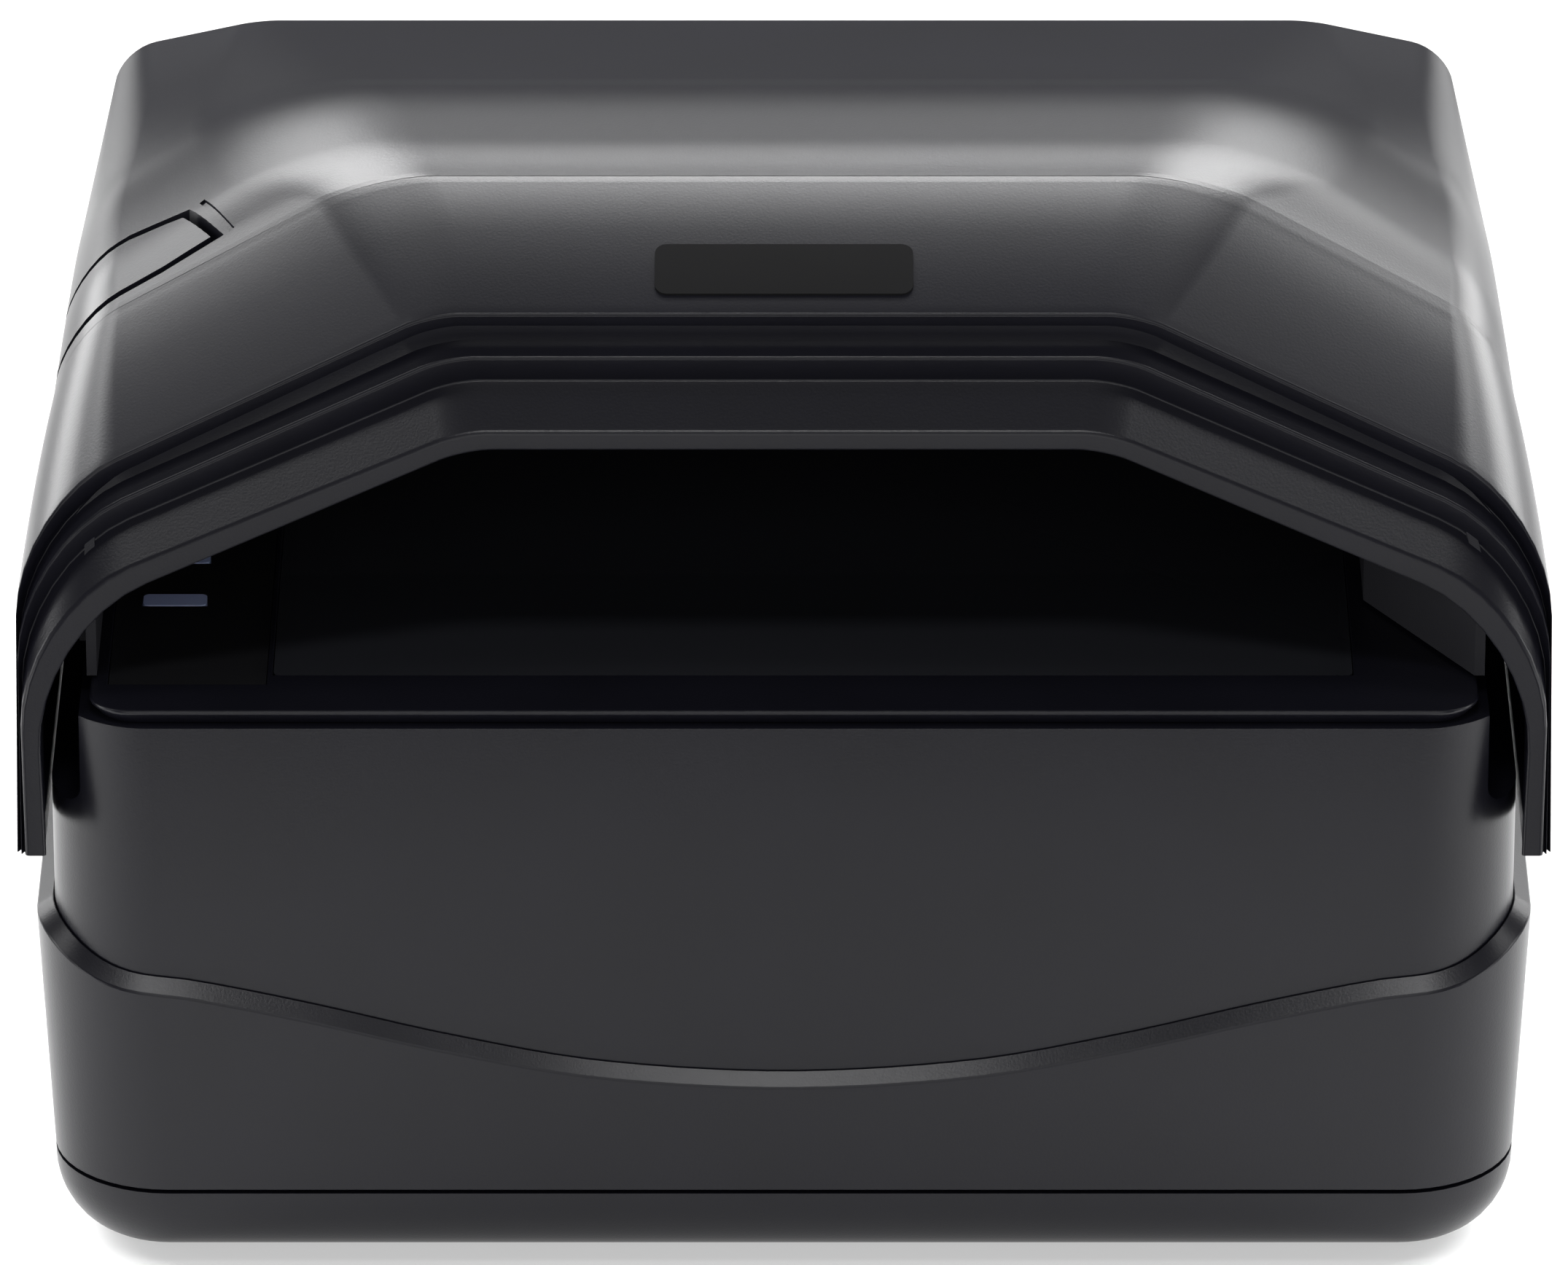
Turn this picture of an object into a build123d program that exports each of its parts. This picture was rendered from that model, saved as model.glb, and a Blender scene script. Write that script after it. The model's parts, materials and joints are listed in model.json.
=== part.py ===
from build123d import *
import math
import os

os.makedirs("parts", exist_ok=True)

# Desktop full-page passport reader, in millimetres.
# Origin: middle of the footprint on the desk. The front faces -Y, +X is the user's right, +Z is up.

# Overall casing
foot_gap = 1.0                  # the tray stands this far off the desk
base_half_width = 87.6          # lower shell at the parting line
base_half_depth = 73.0
side_flare = 1.7                # the lower shell widens by this much towards its top
end_flare = 0.5
half_width = base_half_width + side_flare
half_depth = base_half_depth + end_flare
corner_radius = 14.0
parting_height = 11.0
wide_height = 46.0              # where the lower shell reaches its full width
wall = 2.2
fit_gap = 0.1                   # between shells that nest
play = 0.3                      # between pieces that sit near each other
overrun = 2.0                   # how far cuts run past what they cut

# Smile-shaped top edge of the lower shell
smile_low = 26.9
smile_side = 45.5
smile_shares = [(0.0, 0.0), (0.25, 0.08), (0.45, 0.27), (0.63, 0.49), (0.78, 0.65), (0.90, 0.745), (1.0, 1.0)]
smile_end_share = (1.12, 1.3)
lap = 5.0                       # how far the upper shell reaches down inside the lower one
bevel = 1.5                     # slope on the lower shell's top edge

# Upper shell
ledge_width = 2.3               # the lower shell's top edge stands out past the upper shell
ledge_depth = 2.1
upper_half_width = half_width - ledge_width
upper_half_depth = half_depth - ledge_depth
shoulder_height = 60.2          # the side recesses start here
recess_height = 12.0
panel_top = shoulder_height + recess_height
recess_depth = 3.8
neck_half_width = upper_half_width - recess_depth
neck_rear = upper_half_depth - recess_depth
recess_round = 2.5
deck_drop = 2.2
deck_top = panel_top - deck_drop
deck_thickness = 1.6

# Base tray
tray_round = 7.5
tray_floor = 2.5
tray_tongue = 3.0
shadow_gap = 0.4

# Screws and the columns that they enter
column_inset = 10.7
column_x = upper_half_width - column_inset
column_y = upper_half_depth - column_inset
column_radius = 4.0
screw_radius = 1.5
screw_head_radius = 2.9
screw_head_height = 2.0
screw_length = 16.0
pilot_gap = 0.1

# Feet
foot_inset = 25.6
foot_x = base_half_width - foot_inset
foot_y = base_half_depth - foot_inset
foot_radius = 7.0
foot_recess = 1.5
foot_round = 0.5

# Scan bezel, glass and status panel
bezel_rise = 2.0
bezel_top = panel_top + bezel_rise
bezel_inset = 0.9
bezel_front_inset = 0.4
bezel_half_width = neck_half_width - bezel_inset
bezel_front = upper_half_depth - bezel_front_inset
bezel_rear = neck_rear - bezel_inset
bezel_corner = 5.0
bezel_round = 0.8
glass_left_margin = 21.9
glass_right_margin = 15.0
glass_front_margin = 10.0
glass_rear_margin = 31.2
glass_left = glass_left_margin - bezel_half_width
glass_right = bezel_half_width - glass_right_margin
glass_front = glass_front_margin - bezel_front
glass_rear = bezel_rear - glass_rear_margin
glass_thickness = 3.0
glass_corner = 1.5
glass_recess = 0.3
gasket_thickness = 0.9
gasket_width = 3.2
status_left_margin = 2.5
status_gap = 0.8                # between the status panel and the glass
status_reach = 2.4              # the status panel reaches this far in front of the glass
status_length = 67.4
status_left = status_left_margin - bezel_half_width
status_right = glass_left - status_gap
status_front = glass_front - status_reach
status_rear = status_front + status_length
status_thickness = 1.6
light_margin = 3.2
light_length = 7.6
light_setback = 23.2
light_left = status_left + light_margin
light_right = light_left + light_length
light_first_y = status_front + light_setback
light_pitch = 11.7
light_depth = 3.0
light_count = 2
light_depth_below = 5.0
light_proud = 0.1

# Optical chamber and what it holds
chamber_margin = 3.2
chamber_rear_margin = 6.5
chamber_left = glass_left - chamber_margin
chamber_right = glass_right + chamber_margin
chamber_front = glass_front - chamber_margin
chamber_rear = glass_rear + chamber_rear_margin
chamber_bottom = 16.4
chamber_wall = 1.8
spacer_inset = 14.0
spacer_radius = 2.6
board_thickness = 1.6
antenna_margin = 8.4
antenna_front_margin = 1.2
antenna_left = chamber_left - antenna_margin
antenna_right = chamber_right + antenna_margin
antenna_front = chamber_front - antenna_front_margin
antenna_rear = chamber_rear + antenna_margin
mirror_side_gap = 9.0           # from the chamber's inner side faces
mirror_width = chamber_right - chamber_left - 2 * (chamber_wall + mirror_side_gap)
mirror_length_share = 0.933     # share of the chamber's height
mirror_length = mirror_length_share * (deck_top - chamber_bottom)
mirror_thickness = 3.0
mirror_setback = 29.8
mirror_y = chamber_front + mirror_setback
mirror_drop = 2.2
mirror_z = (chamber_bottom + deck_top) / 2 - mirror_drop
mirror_tilt = 45.0
cheek_thickness = 2.0
bracket_back = 1.6
optics_x = (glass_left + glass_right) / 2
optics_z = mirror_z
port_radius = 9.5
post_length = 11.0
post_radius = 2.4
post_spacing = 28.0
camera_board_size = 36.0
lens_mount_size = 17.0
lens_mount_length = 8.0
barrel_radius = 7.0
barrel_length = 17.0
barrel_in_mount = 5.0
barrel_bore = 5.2
thread_gap = 0.05
element_thickness = 3.0
element_setback = 1.5
lock_ring_radius = 8.6
lock_ring_length = 2.4
sensor_size = 8.0
sensor_thickness = 1.0
light_board_end_gap = 7.0       # from the chamber's inner end faces
light_board_length = chamber_rear - chamber_front - 2 * (chamber_wall + light_board_end_gap)
light_board_height = 11.0
light_board_y = (chamber_front + chamber_rear) / 2
light_board_drop = 12.0
light_board_z = deck_top - light_board_drop
emitter_count = 6
emitter_size = 3.0
emitter_height = 0.9
diffuser_gap = 3.0
diffuser_thickness = 1.0

# Main board and what it carries
main_side_gap = 19.6
main_front_gap = 17.0
main_rear_gap = 9.0
main_half_width = base_half_width - main_side_gap
main_front = main_front_gap - base_half_depth
main_rear = base_half_depth - main_rear_gap
main_bottom = 9.0
boss_radius = 3.6
board_screw_inset = 8.0
board_screw_x = main_half_width - board_screw_inset
board_screw_y_shares = [-0.82, 0.86]
board_screw_radius = 1.2
board_screw_head = 2.4
board_screw_head_height = 1.4
board_screw_length = 6.0
processor_size = 26.0
processor_height = 1.6
processor_x = -24.0
processor_y = -10.0
spreader_size = 30.0
spreader_height = 2.6
spreader_grooves = 5
groove_depth_share = 0.6
groove_width_share = 0.4
buzzer_gap = 10.4               # from the nearest chamber spacer
buzzer_rear_gap = 18.0
buzzer_x = chamber_right - spacer_inset - buzzer_gap
buzzer_y = chamber_rear - buzzer_rear_gap
buzzer_radius = 5.8
buzzer_height = 4.6
buzzer_hole = 1.0
header_length = 16.0
header_depth = 4.6
header_height = 4.0
camera_header_bottom = 25.0
camera_header_depth = 2.6
ribbon_width = 13.0
ribbon_thickness = 0.4
status_ribbon_gap = 2.9
status_ribbon_x = chamber_left - status_ribbon_gap
status_ribbon_width = 8.0
status_board_width = 14.6
status_board_length = 28.0
status_light_size = 3.2
status_light_height = 0.6

# Rear connector panel
panel_half_width = 28.0
panel_bottom = 12.6
panel_height = 8.8
panel_thickness = 1.8
panel_recess = 0.6
panel_face_y = base_half_depth - panel_recess
socket_mouth_z = 16.6
socket_height = 10.4
data_x = -12.0
data_width = 12.0
data_depth = 16.0
data_mouth_width = 8.6
data_mouth_height = 5.6
data_mouth_depth = 9.0
data_tongue_height = 1.8
power_x = 12.0
power_width = 9.6
power_depth = 14.0
power_mouth_radius = 3.2
power_pin_radius = 1.0
power_mouth_depth = 9.5

# Hood: leg bottoms, and the rim and its two steps at the front
leg_drop = 4.2                  # the legs hang this far below the recess shoulders
leg_foot = shoulder_height - leg_drop
plateau_top = 125.9
rim_fall = 20.1                 # from the plateau down to the rim's top
rim_setback = 1.0
rim_lean = 12.4                 # the rim leans back this far by its top
rim_foot_y = rim_setback - half_depth
rim_top_y = rim_foot_y + rim_lean
rim_top = plateau_top - rim_fall
skirt_overhang = 3.9
skirt_foot_half = upper_half_width + skirt_overhang
rim_flat_share = 0.418          # shares of the half width
rim_flat = rim_flat_share * skirt_foot_half
rim_slope = 0.404
leg_shoulder_inset = 0.5
leg_foot_inset = 1.8
leg_half_width = skirt_foot_half - leg_shoulder_inset
leg_foot_half = skirt_foot_half - leg_foot_inset
band_depth = 4.9
band_rise = 3.5
step_height = 3.0
tread_depth = 2.0
tread_rise = 1.2
step_inset = 1.8
step_one_slope = 0.425
step_two_slope = 0.44
foot_stagger = 0.6              # the steps run together at the leg bottoms
hood_wall = 2.2
leg_thickness = 1.8
top_round = 16.0
side_round = 15.0

# Hood: crease, plateau and rear
rear_stand = 0.3                # the rear wall stands off the casing by this much
rear_lean = 1.7
rear_foot_y = upper_half_depth + rear_stand
rear_y = rear_foot_y - rear_lean
hood_depth = rear_foot_y - rim_foot_y
front_mid_share = 0.2178        # shares of the hood's depth, from the rim's foot backwards
crease_share = 0.2871
plateau_share = 0.3669
fall_share = 0.4889
back_share = 0.6117
front_foot_share = 0.1422
crease_foot_share = 0.2358
plateau_foot_share = 0.3363
fall_foot_share = 0.4785
back_foot_share = 0.6137
front_mid_flat_share = 0.4995   # shares of the half width
crease_flat_share = 0.538
plateau_flat_share = 0.649
fall_flat_share = 0.682
back_flat_share = 0.704
rear_flat_share = 0.726
front_mid_fall = 3.5            # from the plateau's rear edge down to each outline's flat
crease_fall = 0.4
fall_fall = 2.3
back_fall = 8.3
rear_fall = 24.3
front_mid_top = plateau_top - front_mid_fall
crease_top = plateau_top - crease_fall
fall_top = plateau_top - fall_fall
back_top = plateau_top - back_fall
rear_top = plateau_top - rear_fall
front_side_inset = 2.9          # from the skirt's half width
crease_side_inset = 4.6
plateau_side_inset = 5.1
fall_side_inset = 5.7
back_side_inset = 5.9
rear_side_inset = 7.3
rear_foot_inset = 0.8
front_side_drop = 22.3          # from each outline's flat down to its shoulder
crease_side_drop = 21.9
plateau_side_drop = 19.3
fall_side_drop = 16.8
back_side_drop = 13.4
rear_side_drop = 4.0
rear_side_round = 4.0
rib_length = 7.0
rib_front_share = 0.1422
rib_rear_share = 0.8079
rib_height = 21.8
rib_top = shoulder_height + rib_height

# Hood liner
liner_left_inset = 1.1          # from the bezel's sides
liner_right_inset = 0.7
liner_side_gap = 1.9            # from the glass
liner_front_gap = 1.0
liner_rear_gap = 2.5
liner_turn = 19.5               # the funnel's slope ends this far behind the glass's front edge
liner_left = liner_left_inset - bezel_half_width
liner_right_front = bezel_half_width - liner_right_inset
liner_right = glass_right + liner_side_gap
liner_front = glass_front - liner_front_gap
liner_turn_y = glass_front + liner_turn
liner_rear = glass_rear + liner_rear_gap
liner_thickness = 1.2
liner_stand = 0.4               # above the bezel
liner_notch = 3.0               # clear room round the tab's ears
lug_size = 8.0
lug_thickness = 2.4
lug_drop = 6.05
lug_z = (bezel_top + plateau_top) / 2 - lug_drop
lug_inset = 21.2
lug_screw_radius = 1.1
lug_screw_length = 7.0
lug_head_radius = 2.2
lug_head_height = 1.4
pad_rise = 1.8                  # the pad starts this far above the bezel
pad_height = 5.0
pad_bottom = bezel_top + pad_rise
pad_top = pad_bottom + pad_height

# Release tab
tab_front_share = 0.2892
tab_front = rim_foot_y + tab_front_share * hood_depth
tab_width = 12.2
tab_gap = 0.7
tab_end_gap = 0.9
tab_reach = 23.3                # from the skirt's side to the tab's inner end
tab_inner_x = tab_reach - skirt_foot_half
tab_drop = 35.3                 # from the plateau down to the tab's lower end
tab_bottom = plateau_top - tab_drop
notch_drop = 6.6
notch_bottom = tab_bottom - notch_drop
pin_inset = 11.4
pin_x = pin_inset - skirt_foot_half
pin_drop = 24.4
pin_z = plateau_top - pin_drop
pin_radius = 1.0
running_gap = 0.05
press_gap = 0.01
knuckle_radius = 2.2
knuckle_web = 3.0
arm_thickness = 1.6
arm_width = 8.0
arm_stand = 2.4                 # the arm ends this far above the recess shoulder
arm_bottom = shoulder_height + arm_stand
arm_join = 7.4                  # the arm runs up this far behind the tab's face
arm_top = tab_bottom + arm_join
arm_relief = 0.8
hook_reach = 0.2
hook_height = 3.4
ear_thickness = 2.6
ear_reach = 3.0
spring_wire = 0.3
spring_turns = 4
spring_pitch = 0.65
spring_leg = 1.5

# Bare name plate
plate_top_width = 29.3
plate_bottom_width = 30.6
plate_height = 8.2
plate_thickness = 0.5
plate_share = 0.1751
plate_y = rim_foot_y + plate_share * hood_depth
plate_fall = 6.2
plate_z = plateau_top - plate_fall
plate_tilt = 26.5
plate_corner = 1.1


def block(x0, x1, y0, y1, z0, z1):
    """A box from its six faces."""
    place = Pos((x0 + x1) / 2, (y0 + y1) / 2, (z0 + z1) / 2)
    return place * Box(x1 - x0, y1 - y0, z1 - z0)


def rod(radius, length, x, y, z, axis=Axis.Z):
    """A cylinder that starts at a point and runs along an axis."""
    base = Plane(origin=(x, y, z), z_dir=axis.direction)
    return extrude(base * Circle(radius), length)


def slab(half_w, half_d, radius, z):
    """A rounded rectangle at one height."""
    return Plane.XY.offset(z) * RectangleRounded(2 * half_w, 2 * half_d, radius)


def column_solid(half_w, half_d, radius, z0, z1):
    """An upright rounded block."""
    return extrude(slab(half_w, half_d, radius, z0), z1 - z0)


def save(name, shape):
    """Write one sub-part."""
    shape.label = name
    export_step(shape, os.path.join("parts", name + ".step"))


def corner_places(x, y):
    """The four places mirrored about the middle."""
    return [(sx * x, sy * y) for sx in (-1, 1) for sy in (-1, 1)]


def group(solids):
    """Several separate solids that share one node."""
    return Compound(children=list(solids))


# Casing


def above_smile(shift):
    """Everything above the smile curve, moved up or down."""
    rise = smile_side - smile_low
    half = [(half_width * s, smile_low + rise * t + shift) for s, t in smile_shares + [smile_end_share]]
    points = [(-x, z) for x, z in reversed(half[1:])] + half
    end_x = points[-1][0]
    curve = Spline(*[(x, 0, z) for x, z in points])
    lid = Polyline((end_x, 0, points[-1][1]), (end_x, 0, panel_top * 2), (-end_x, 0, panel_top * 2),
                   (-end_x, 0, points[0][1]))
    face = make_face([curve, lid])
    return extrude(face, half_depth + overrun, dir=(0, 1, 0), both=True)


def lower_outer():
    body = loft([slab(base_half_width, base_half_depth, corner_radius, parting_height + shadow_gap),
                 slab(half_width, half_depth, corner_radius, wide_height)])
    return body


def lower_shell():
    inner_radius = corner_radius - wall
    hollow = column_solid(base_half_width - wall, base_half_depth - wall, inner_radius,
                          parting_height - overrun, wide_height + overrun)
    rabbet = column_solid(upper_half_width + fit_gap, upper_half_depth + fit_gap,
                          corner_radius - bevel, parting_height, wide_height + overrun)
    shell = lower_outer() - hollow - above_smile(0)
    shell -= rabbet & above_smile(-lap)
    top_edges = [e for e in shell.edges()
                 if e.center().Z > smile_low - fit_gap and on_outside(e, half_width, half_depth)]
    shell = chamfer(top_edges, bevel)
    window = block(-panel_half_width, panel_half_width, base_half_depth - 2 * wall, half_depth + overrun,
                   panel_bottom, panel_bottom + panel_height)
    return shell - window


def on_outside(edge, half_w, half_d):
    """True for an edge that lies on the outer surface of the casing."""
    spot = edge.position_at(0.5)
    room = wall / 2
    return abs(spot.X) > half_w - room or abs(spot.Y) > half_d - room or on_corner(spot, half_w, half_d, room)


def on_corner(spot, half_w, half_d, room):
    dx = abs(spot.X) - (half_w - corner_radius)
    dy = abs(spot.Y) - (half_d - corner_radius)
    return dx > 0 and dy > 0 and math.hypot(dx, dy) > corner_radius - room


def upper_shell():
    start = smile_low - lap
    radius = corner_radius - bevel
    body = column_solid(upper_half_width, upper_half_depth, radius, start, panel_top)
    for side in (-1, 1):
        inner_x = side * neck_half_width
        outer_x = side * (half_width + overrun)
        notch = block(min(inner_x, outer_x), max(inner_x, outer_x), -half_depth - overrun,
                      half_depth + overrun, shoulder_height, panel_top + overrun)
        corner = [e for e in notch.edges().filter_by(Axis.Y)
                  if abs(e.center().X - inner_x) < fit_gap and e.center().Z < panel_top]
        body -= fillet(corner, recess_round)
    body -= block(-half_width, half_width, neck_rear, half_depth + overrun, shoulder_height,
                  panel_top + overrun)
    low = column_solid(upper_half_width - wall, upper_half_depth - wall, radius - wall,
                       start - overrun, shoulder_height - wall)
    high = block(-neck_half_width + wall, neck_half_width - wall, -upper_half_depth + wall, neck_rear - wall,
                 start - overrun, deck_top - deck_thickness)
    lid_well = block(-neck_half_width + wall, neck_half_width - wall, -upper_half_depth + wall,
                     neck_rear - wall, deck_top, panel_top + overrun)
    high &= column_solid(upper_half_width - wall, upper_half_depth - wall, radius - wall,
                         start - overrun, panel_top)
    lid_well &= column_solid(upper_half_width - wall, upper_half_depth - wall, radius - wall,
                             start - overrun, panel_top + overrun)
    body -= low
    body -= high
    body -= lid_well
    body &= above_smile(-lap + fit_gap)
    body -= block(chamber_left - play, chamber_right + play, chamber_front - play, chamber_rear + play,
                  deck_top - deck_thickness - overrun, deck_top + overrun)
    body -= light_opening(deck_top - deck_thickness - overrun, deck_top + overrun)
    for x, y in corner_places(column_x, column_y):
        column = rod(column_radius, deck_top - deck_thickness - parting_height - play, x, y,
                     parting_height + play)
        body += column
    for x, y in corner_places(column_x, column_y):
        body -= rod(screw_radius + pilot_gap, screw_length, x, y, parting_height - overrun)
    return body - catch_pocket()


def catch_pocket():
    """The pocket in the left recess wall that the tab's hook enters."""
    middle = tab_front + tab_width / 2
    half = arm_width / 2 + play
    top = arm_bottom + hook_height + play
    return block(-neck_half_width - overrun, -neck_half_width + wall + overrun, middle - half, middle + half,
                 arm_bottom - play, top)


def tongue_ring(inset, z0, z1):
    """A thin upright ring just inside the tray's wall."""
    deep = inset + wall / 2
    ring = column_solid(base_half_width - inset, base_half_depth - inset, corner_radius - inset, z0, z1)
    return ring - column_solid(base_half_width - deep, base_half_depth - deep, corner_radius - deep,
                               z0 - overrun, z1 + overrun)


def base_tray():
    body = column_solid(base_half_width, base_half_depth, corner_radius, foot_gap, parting_height)
    body = fillet(body.edges().group_by(Axis.Z)[0], tray_round)
    pocket = column_solid(base_half_width - wall, base_half_depth - wall, corner_radius - wall,
                          foot_gap + tray_floor, parting_height + overrun)
    pocket_round = tray_round - tray_floor
    pocket = fillet(pocket.edges().group_by(Axis.Z)[0], pocket_round)
    body -= pocket
    body += tongue_ring(wall, parting_height - tray_tongue, parting_height)
    body += tongue_ring(wall + fit_gap, parting_height - tray_tongue, parting_height + tray_tongue)
    body -= block(-panel_half_width - play, panel_half_width + play, base_half_depth - 2 * wall,
                  base_half_depth - wall, parting_height - tray_tongue,
                  parting_height + tray_tongue + overrun)
    floor_top = foot_gap + tray_floor
    for x, y in corner_places(column_x, column_y):
        boss = rod(column_radius, parting_height - floor_top, x, y, floor_top)
        body += boss
    for x, y in main_board_screw_places():
        body += rod(boss_radius, main_bottom - floor_top, x, y, floor_top)
    for x, y in corner_places(column_x, column_y):
        body -= rod(screw_radius + fit_gap, parting_height + overrun, x, y, 0)
        body -= rod(screw_head_radius + fit_gap, foot_gap + screw_head_height, x, y, 0)
    for x, y in corner_places(foot_x, foot_y):
        body -= rod(foot_radius + fit_gap, foot_gap + foot_recess, x, y, 0)
    for x, y in main_board_screw_places():
        body -= rod(board_screw_radius + pilot_gap, board_screw_length, x, y, floor_top)
    return body


def main_board_screw_places():
    middle = (main_front + main_rear) / 2
    half = (main_rear - main_front) / 2
    return [(sx * board_screw_x, middle + share * half) for sx in (-1, 1) for share in board_screw_y_shares]


def rubber_feet():
    feet = []
    for x, y in corner_places(foot_x, foot_y):
        foot = rod(foot_radius, foot_gap + foot_recess, x, y, 0)
        feet.append(fillet(foot.edges().group_by(Axis.Z)[0], foot_round))
    return group(feet)


def base_screws():
    screws = []
    for x, y in corner_places(column_x, column_y):
        screw = rod(screw_head_radius, screw_head_height, x, y, foot_gap)
        screw += rod(screw_radius, screw_length, x, y, foot_gap + screw_head_height / 2)
        screws.append(screw)
    return group(screws)


# Scan window


def scan_bezel():
    lid_y0 = -bezel_front
    lid = block(-bezel_half_width, bezel_half_width, lid_y0, bezel_rear, panel_top, bezel_top)
    lid = fillet(lid.edges().filter_by(Axis.Z), bezel_corner)
    lid = fillet(lid.edges().group_by(Axis.Z)[-1], bezel_round)
    inset = wall + fit_gap
    plug = block(-neck_half_width + inset, neck_half_width - inset, -upper_half_depth + inset,
                 neck_rear - inset, deck_top, panel_top)
    plug &= column_solid(upper_half_width - inset, upper_half_depth - inset, corner_radius - bevel - inset,
                         deck_top, panel_top)
    body = lid + plug
    body -= block(glass_left - fit_gap, glass_right + fit_gap, glass_front - fit_gap, glass_rear + fit_gap,
                  deck_top - overrun, bezel_top + overrun)
    top = bezel_top - glass_recess
    body -= block(status_left - fit_gap, status_right + fit_gap, status_front - fit_gap,
                  status_rear + fit_gap, top - status_thickness, bezel_top + overrun)
    return body - light_opening(deck_top - overrun, bezel_top)


def light_opening(z0, z1):
    """The slot that the light pipes pass through."""
    y0 = light_first_y - light_pitch / 2
    return block(light_left - wall, light_right + wall, y0, y0 + light_pitch * light_count, z0, z1)


def glass_bottom():
    return bezel_top - glass_recess - glass_thickness


def scan_glass():
    pane = block(glass_left, glass_right, glass_front, glass_rear, glass_bottom(), bezel_top - glass_recess)
    return fillet(pane.edges().filter_by(Axis.Z), glass_corner)


def glass_gasket():
    z1 = glass_bottom()
    z0 = z1 - gasket_thickness
    ring = block(glass_left, glass_right, glass_front, glass_rear, z0, z1)
    ring -= block(glass_left + gasket_width, glass_right - gasket_width, glass_front + gasket_width,
                  glass_rear - gasket_width, z0 - overrun, z1 + overrun)
    return ring


def light_bar_places():
    return [light_first_y + k * light_pitch for k in range(light_count)]


def status_panel():
    top = bezel_top - glass_recess
    panel = block(status_left, status_right, status_front, status_rear, top - status_thickness, top)
    for y in light_bar_places():
        panel -= block(light_left - fit_gap, light_right + fit_gap, y - light_depth / 2 - fit_gap,
                       y + light_depth / 2 + fit_gap, top - status_thickness - overrun, top + overrun)
    return panel


def status_light_pipes():
    top = bezel_top - glass_recess + light_proud
    bars = []
    for y in light_bar_places():
        bar = block(light_left, light_right, y - light_depth / 2, y + light_depth / 2,
                    top - light_depth_below, top)
        bar = fillet(bar.edges().filter_by(Axis.Z), light_depth / 4)
        bars.append(bar)
    return group(bars)


# Hood


def arch_plane(foot_y, lean):
    """A plane across the hood that leans back from a line on the leg bottoms."""
    slant = math.hypot(1, lean)
    return Plane(origin=(0, foot_y, leg_foot), x_dir=(1, 0, 0), z_dir=(0, -1 / slant, lean / slant))


def arch(foot_y, lean, foot_half, side_half, side_z, flat_half, top_z, side_radius, drop=0):
    """The closed arch outline of the hood on one leaning plane."""
    stretch = math.hypot(1, lean)
    points = [(-foot_half, -drop), (-side_half, side_z - leg_foot), (-flat_half, top_z - leg_foot),
              (flat_half, top_z - leg_foot), (side_half, side_z - leg_foot), (foot_half, -drop)]
    points = [(x, z * stretch) for x, z in points]
    radii = [side_radius, top_round, top_round, side_radius]
    path = FilletPolyline(*points, radius=radii)
    foot = Line(points[-1], points[0])
    face = make_face([path, foot])
    return arch_plane(foot_y, lean) * face


def rim_arch(foot_y, top_y, top, flat, slope, foot_half):
    """One outline of the stepped rim; its sides come down from the flat at a steady slope."""
    lean = (top_y - foot_y) / (top - leg_foot)
    side_z = top - slope * (leg_half_width - flat)
    return dict(foot_y=foot_y, lean=lean, foot_half=foot_half, side_half=leg_half_width,
                side_z=side_z, flat_half=flat, top_z=top, side_radius=side_round)


def rim_stations():
    """The rim's front edge, then the foot and the lip of each of its two steps."""
    middle_foot = (leg_foot_half + skirt_foot_half) / 2
    one_y = rim_top_y + band_depth
    one_lip = rim_top + band_rise + step_height
    two_y = one_y + tread_depth
    two_lip = one_lip + tread_rise + step_height
    one_foot_y = rim_foot_y + foot_stagger
    two_foot_y = rim_foot_y + 2 * foot_stagger
    two_flat = rim_flat + 2 * step_inset
    rim = rim_arch(rim_foot_y, rim_top_y, rim_top, rim_flat, rim_slope, leg_foot_half)
    band_end = rim_arch(one_foot_y, one_y, one_lip - step_height, rim_flat + step_inset / 2, rim_slope,
                        leg_foot_half)
    step_one = rim_arch(one_foot_y, one_y, one_lip, rim_flat + step_inset, step_one_slope, middle_foot)
    tread_end = rim_arch(two_foot_y, two_y, two_lip - step_height, two_flat - step_inset / 2,
                         step_one_slope, middle_foot)
    step_two = rim_arch(two_foot_y, two_y, two_lip, two_flat, step_two_slope, skirt_foot_half)
    return rim, band_end, step_one, tread_end, step_two


def depth_at(share):
    return rim_foot_y + share * hood_depth


def body_station(top_y, foot_y, top_z, flat_share, side_inset, side_drop, foot_inset=0, radius=side_round):
    """One outline of the hood behind its steps."""
    return dict(foot_y=foot_y, lean=(top_y - foot_y) / (top_z - leg_foot),
                foot_half=skirt_foot_half - foot_inset, side_half=skirt_foot_half - side_inset,
                side_z=top_z - side_drop, flat_half=flat_share * skirt_foot_half, top_z=top_z,
                side_radius=radius)


def body_stations():
    """The hood's outlines from the front slope to the rear."""
    mid = body_station(depth_at(front_mid_share), depth_at(front_foot_share), front_mid_top,
                       front_mid_flat_share, front_side_inset, front_side_drop)
    crease = body_station(depth_at(crease_share), depth_at(crease_foot_share), crease_top,
                          crease_flat_share, crease_side_inset, crease_side_drop)
    plateau = body_station(depth_at(plateau_share), depth_at(plateau_foot_share), plateau_top,
                           plateau_flat_share, plateau_side_inset, plateau_side_drop)
    fall = body_station(depth_at(fall_share), depth_at(fall_foot_share), fall_top,
                        fall_flat_share, fall_side_inset, fall_side_drop)
    back = body_station(depth_at(back_share), depth_at(back_foot_share), back_top,
                        back_flat_share, back_side_inset, back_side_drop)
    rear = body_station(rear_y, rear_foot_y, rear_top, rear_flat_share, rear_side_inset,
                        rear_side_drop, rear_foot_inset, rear_side_round)
    return mid, crease, plateau, fall, back, rear


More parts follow.
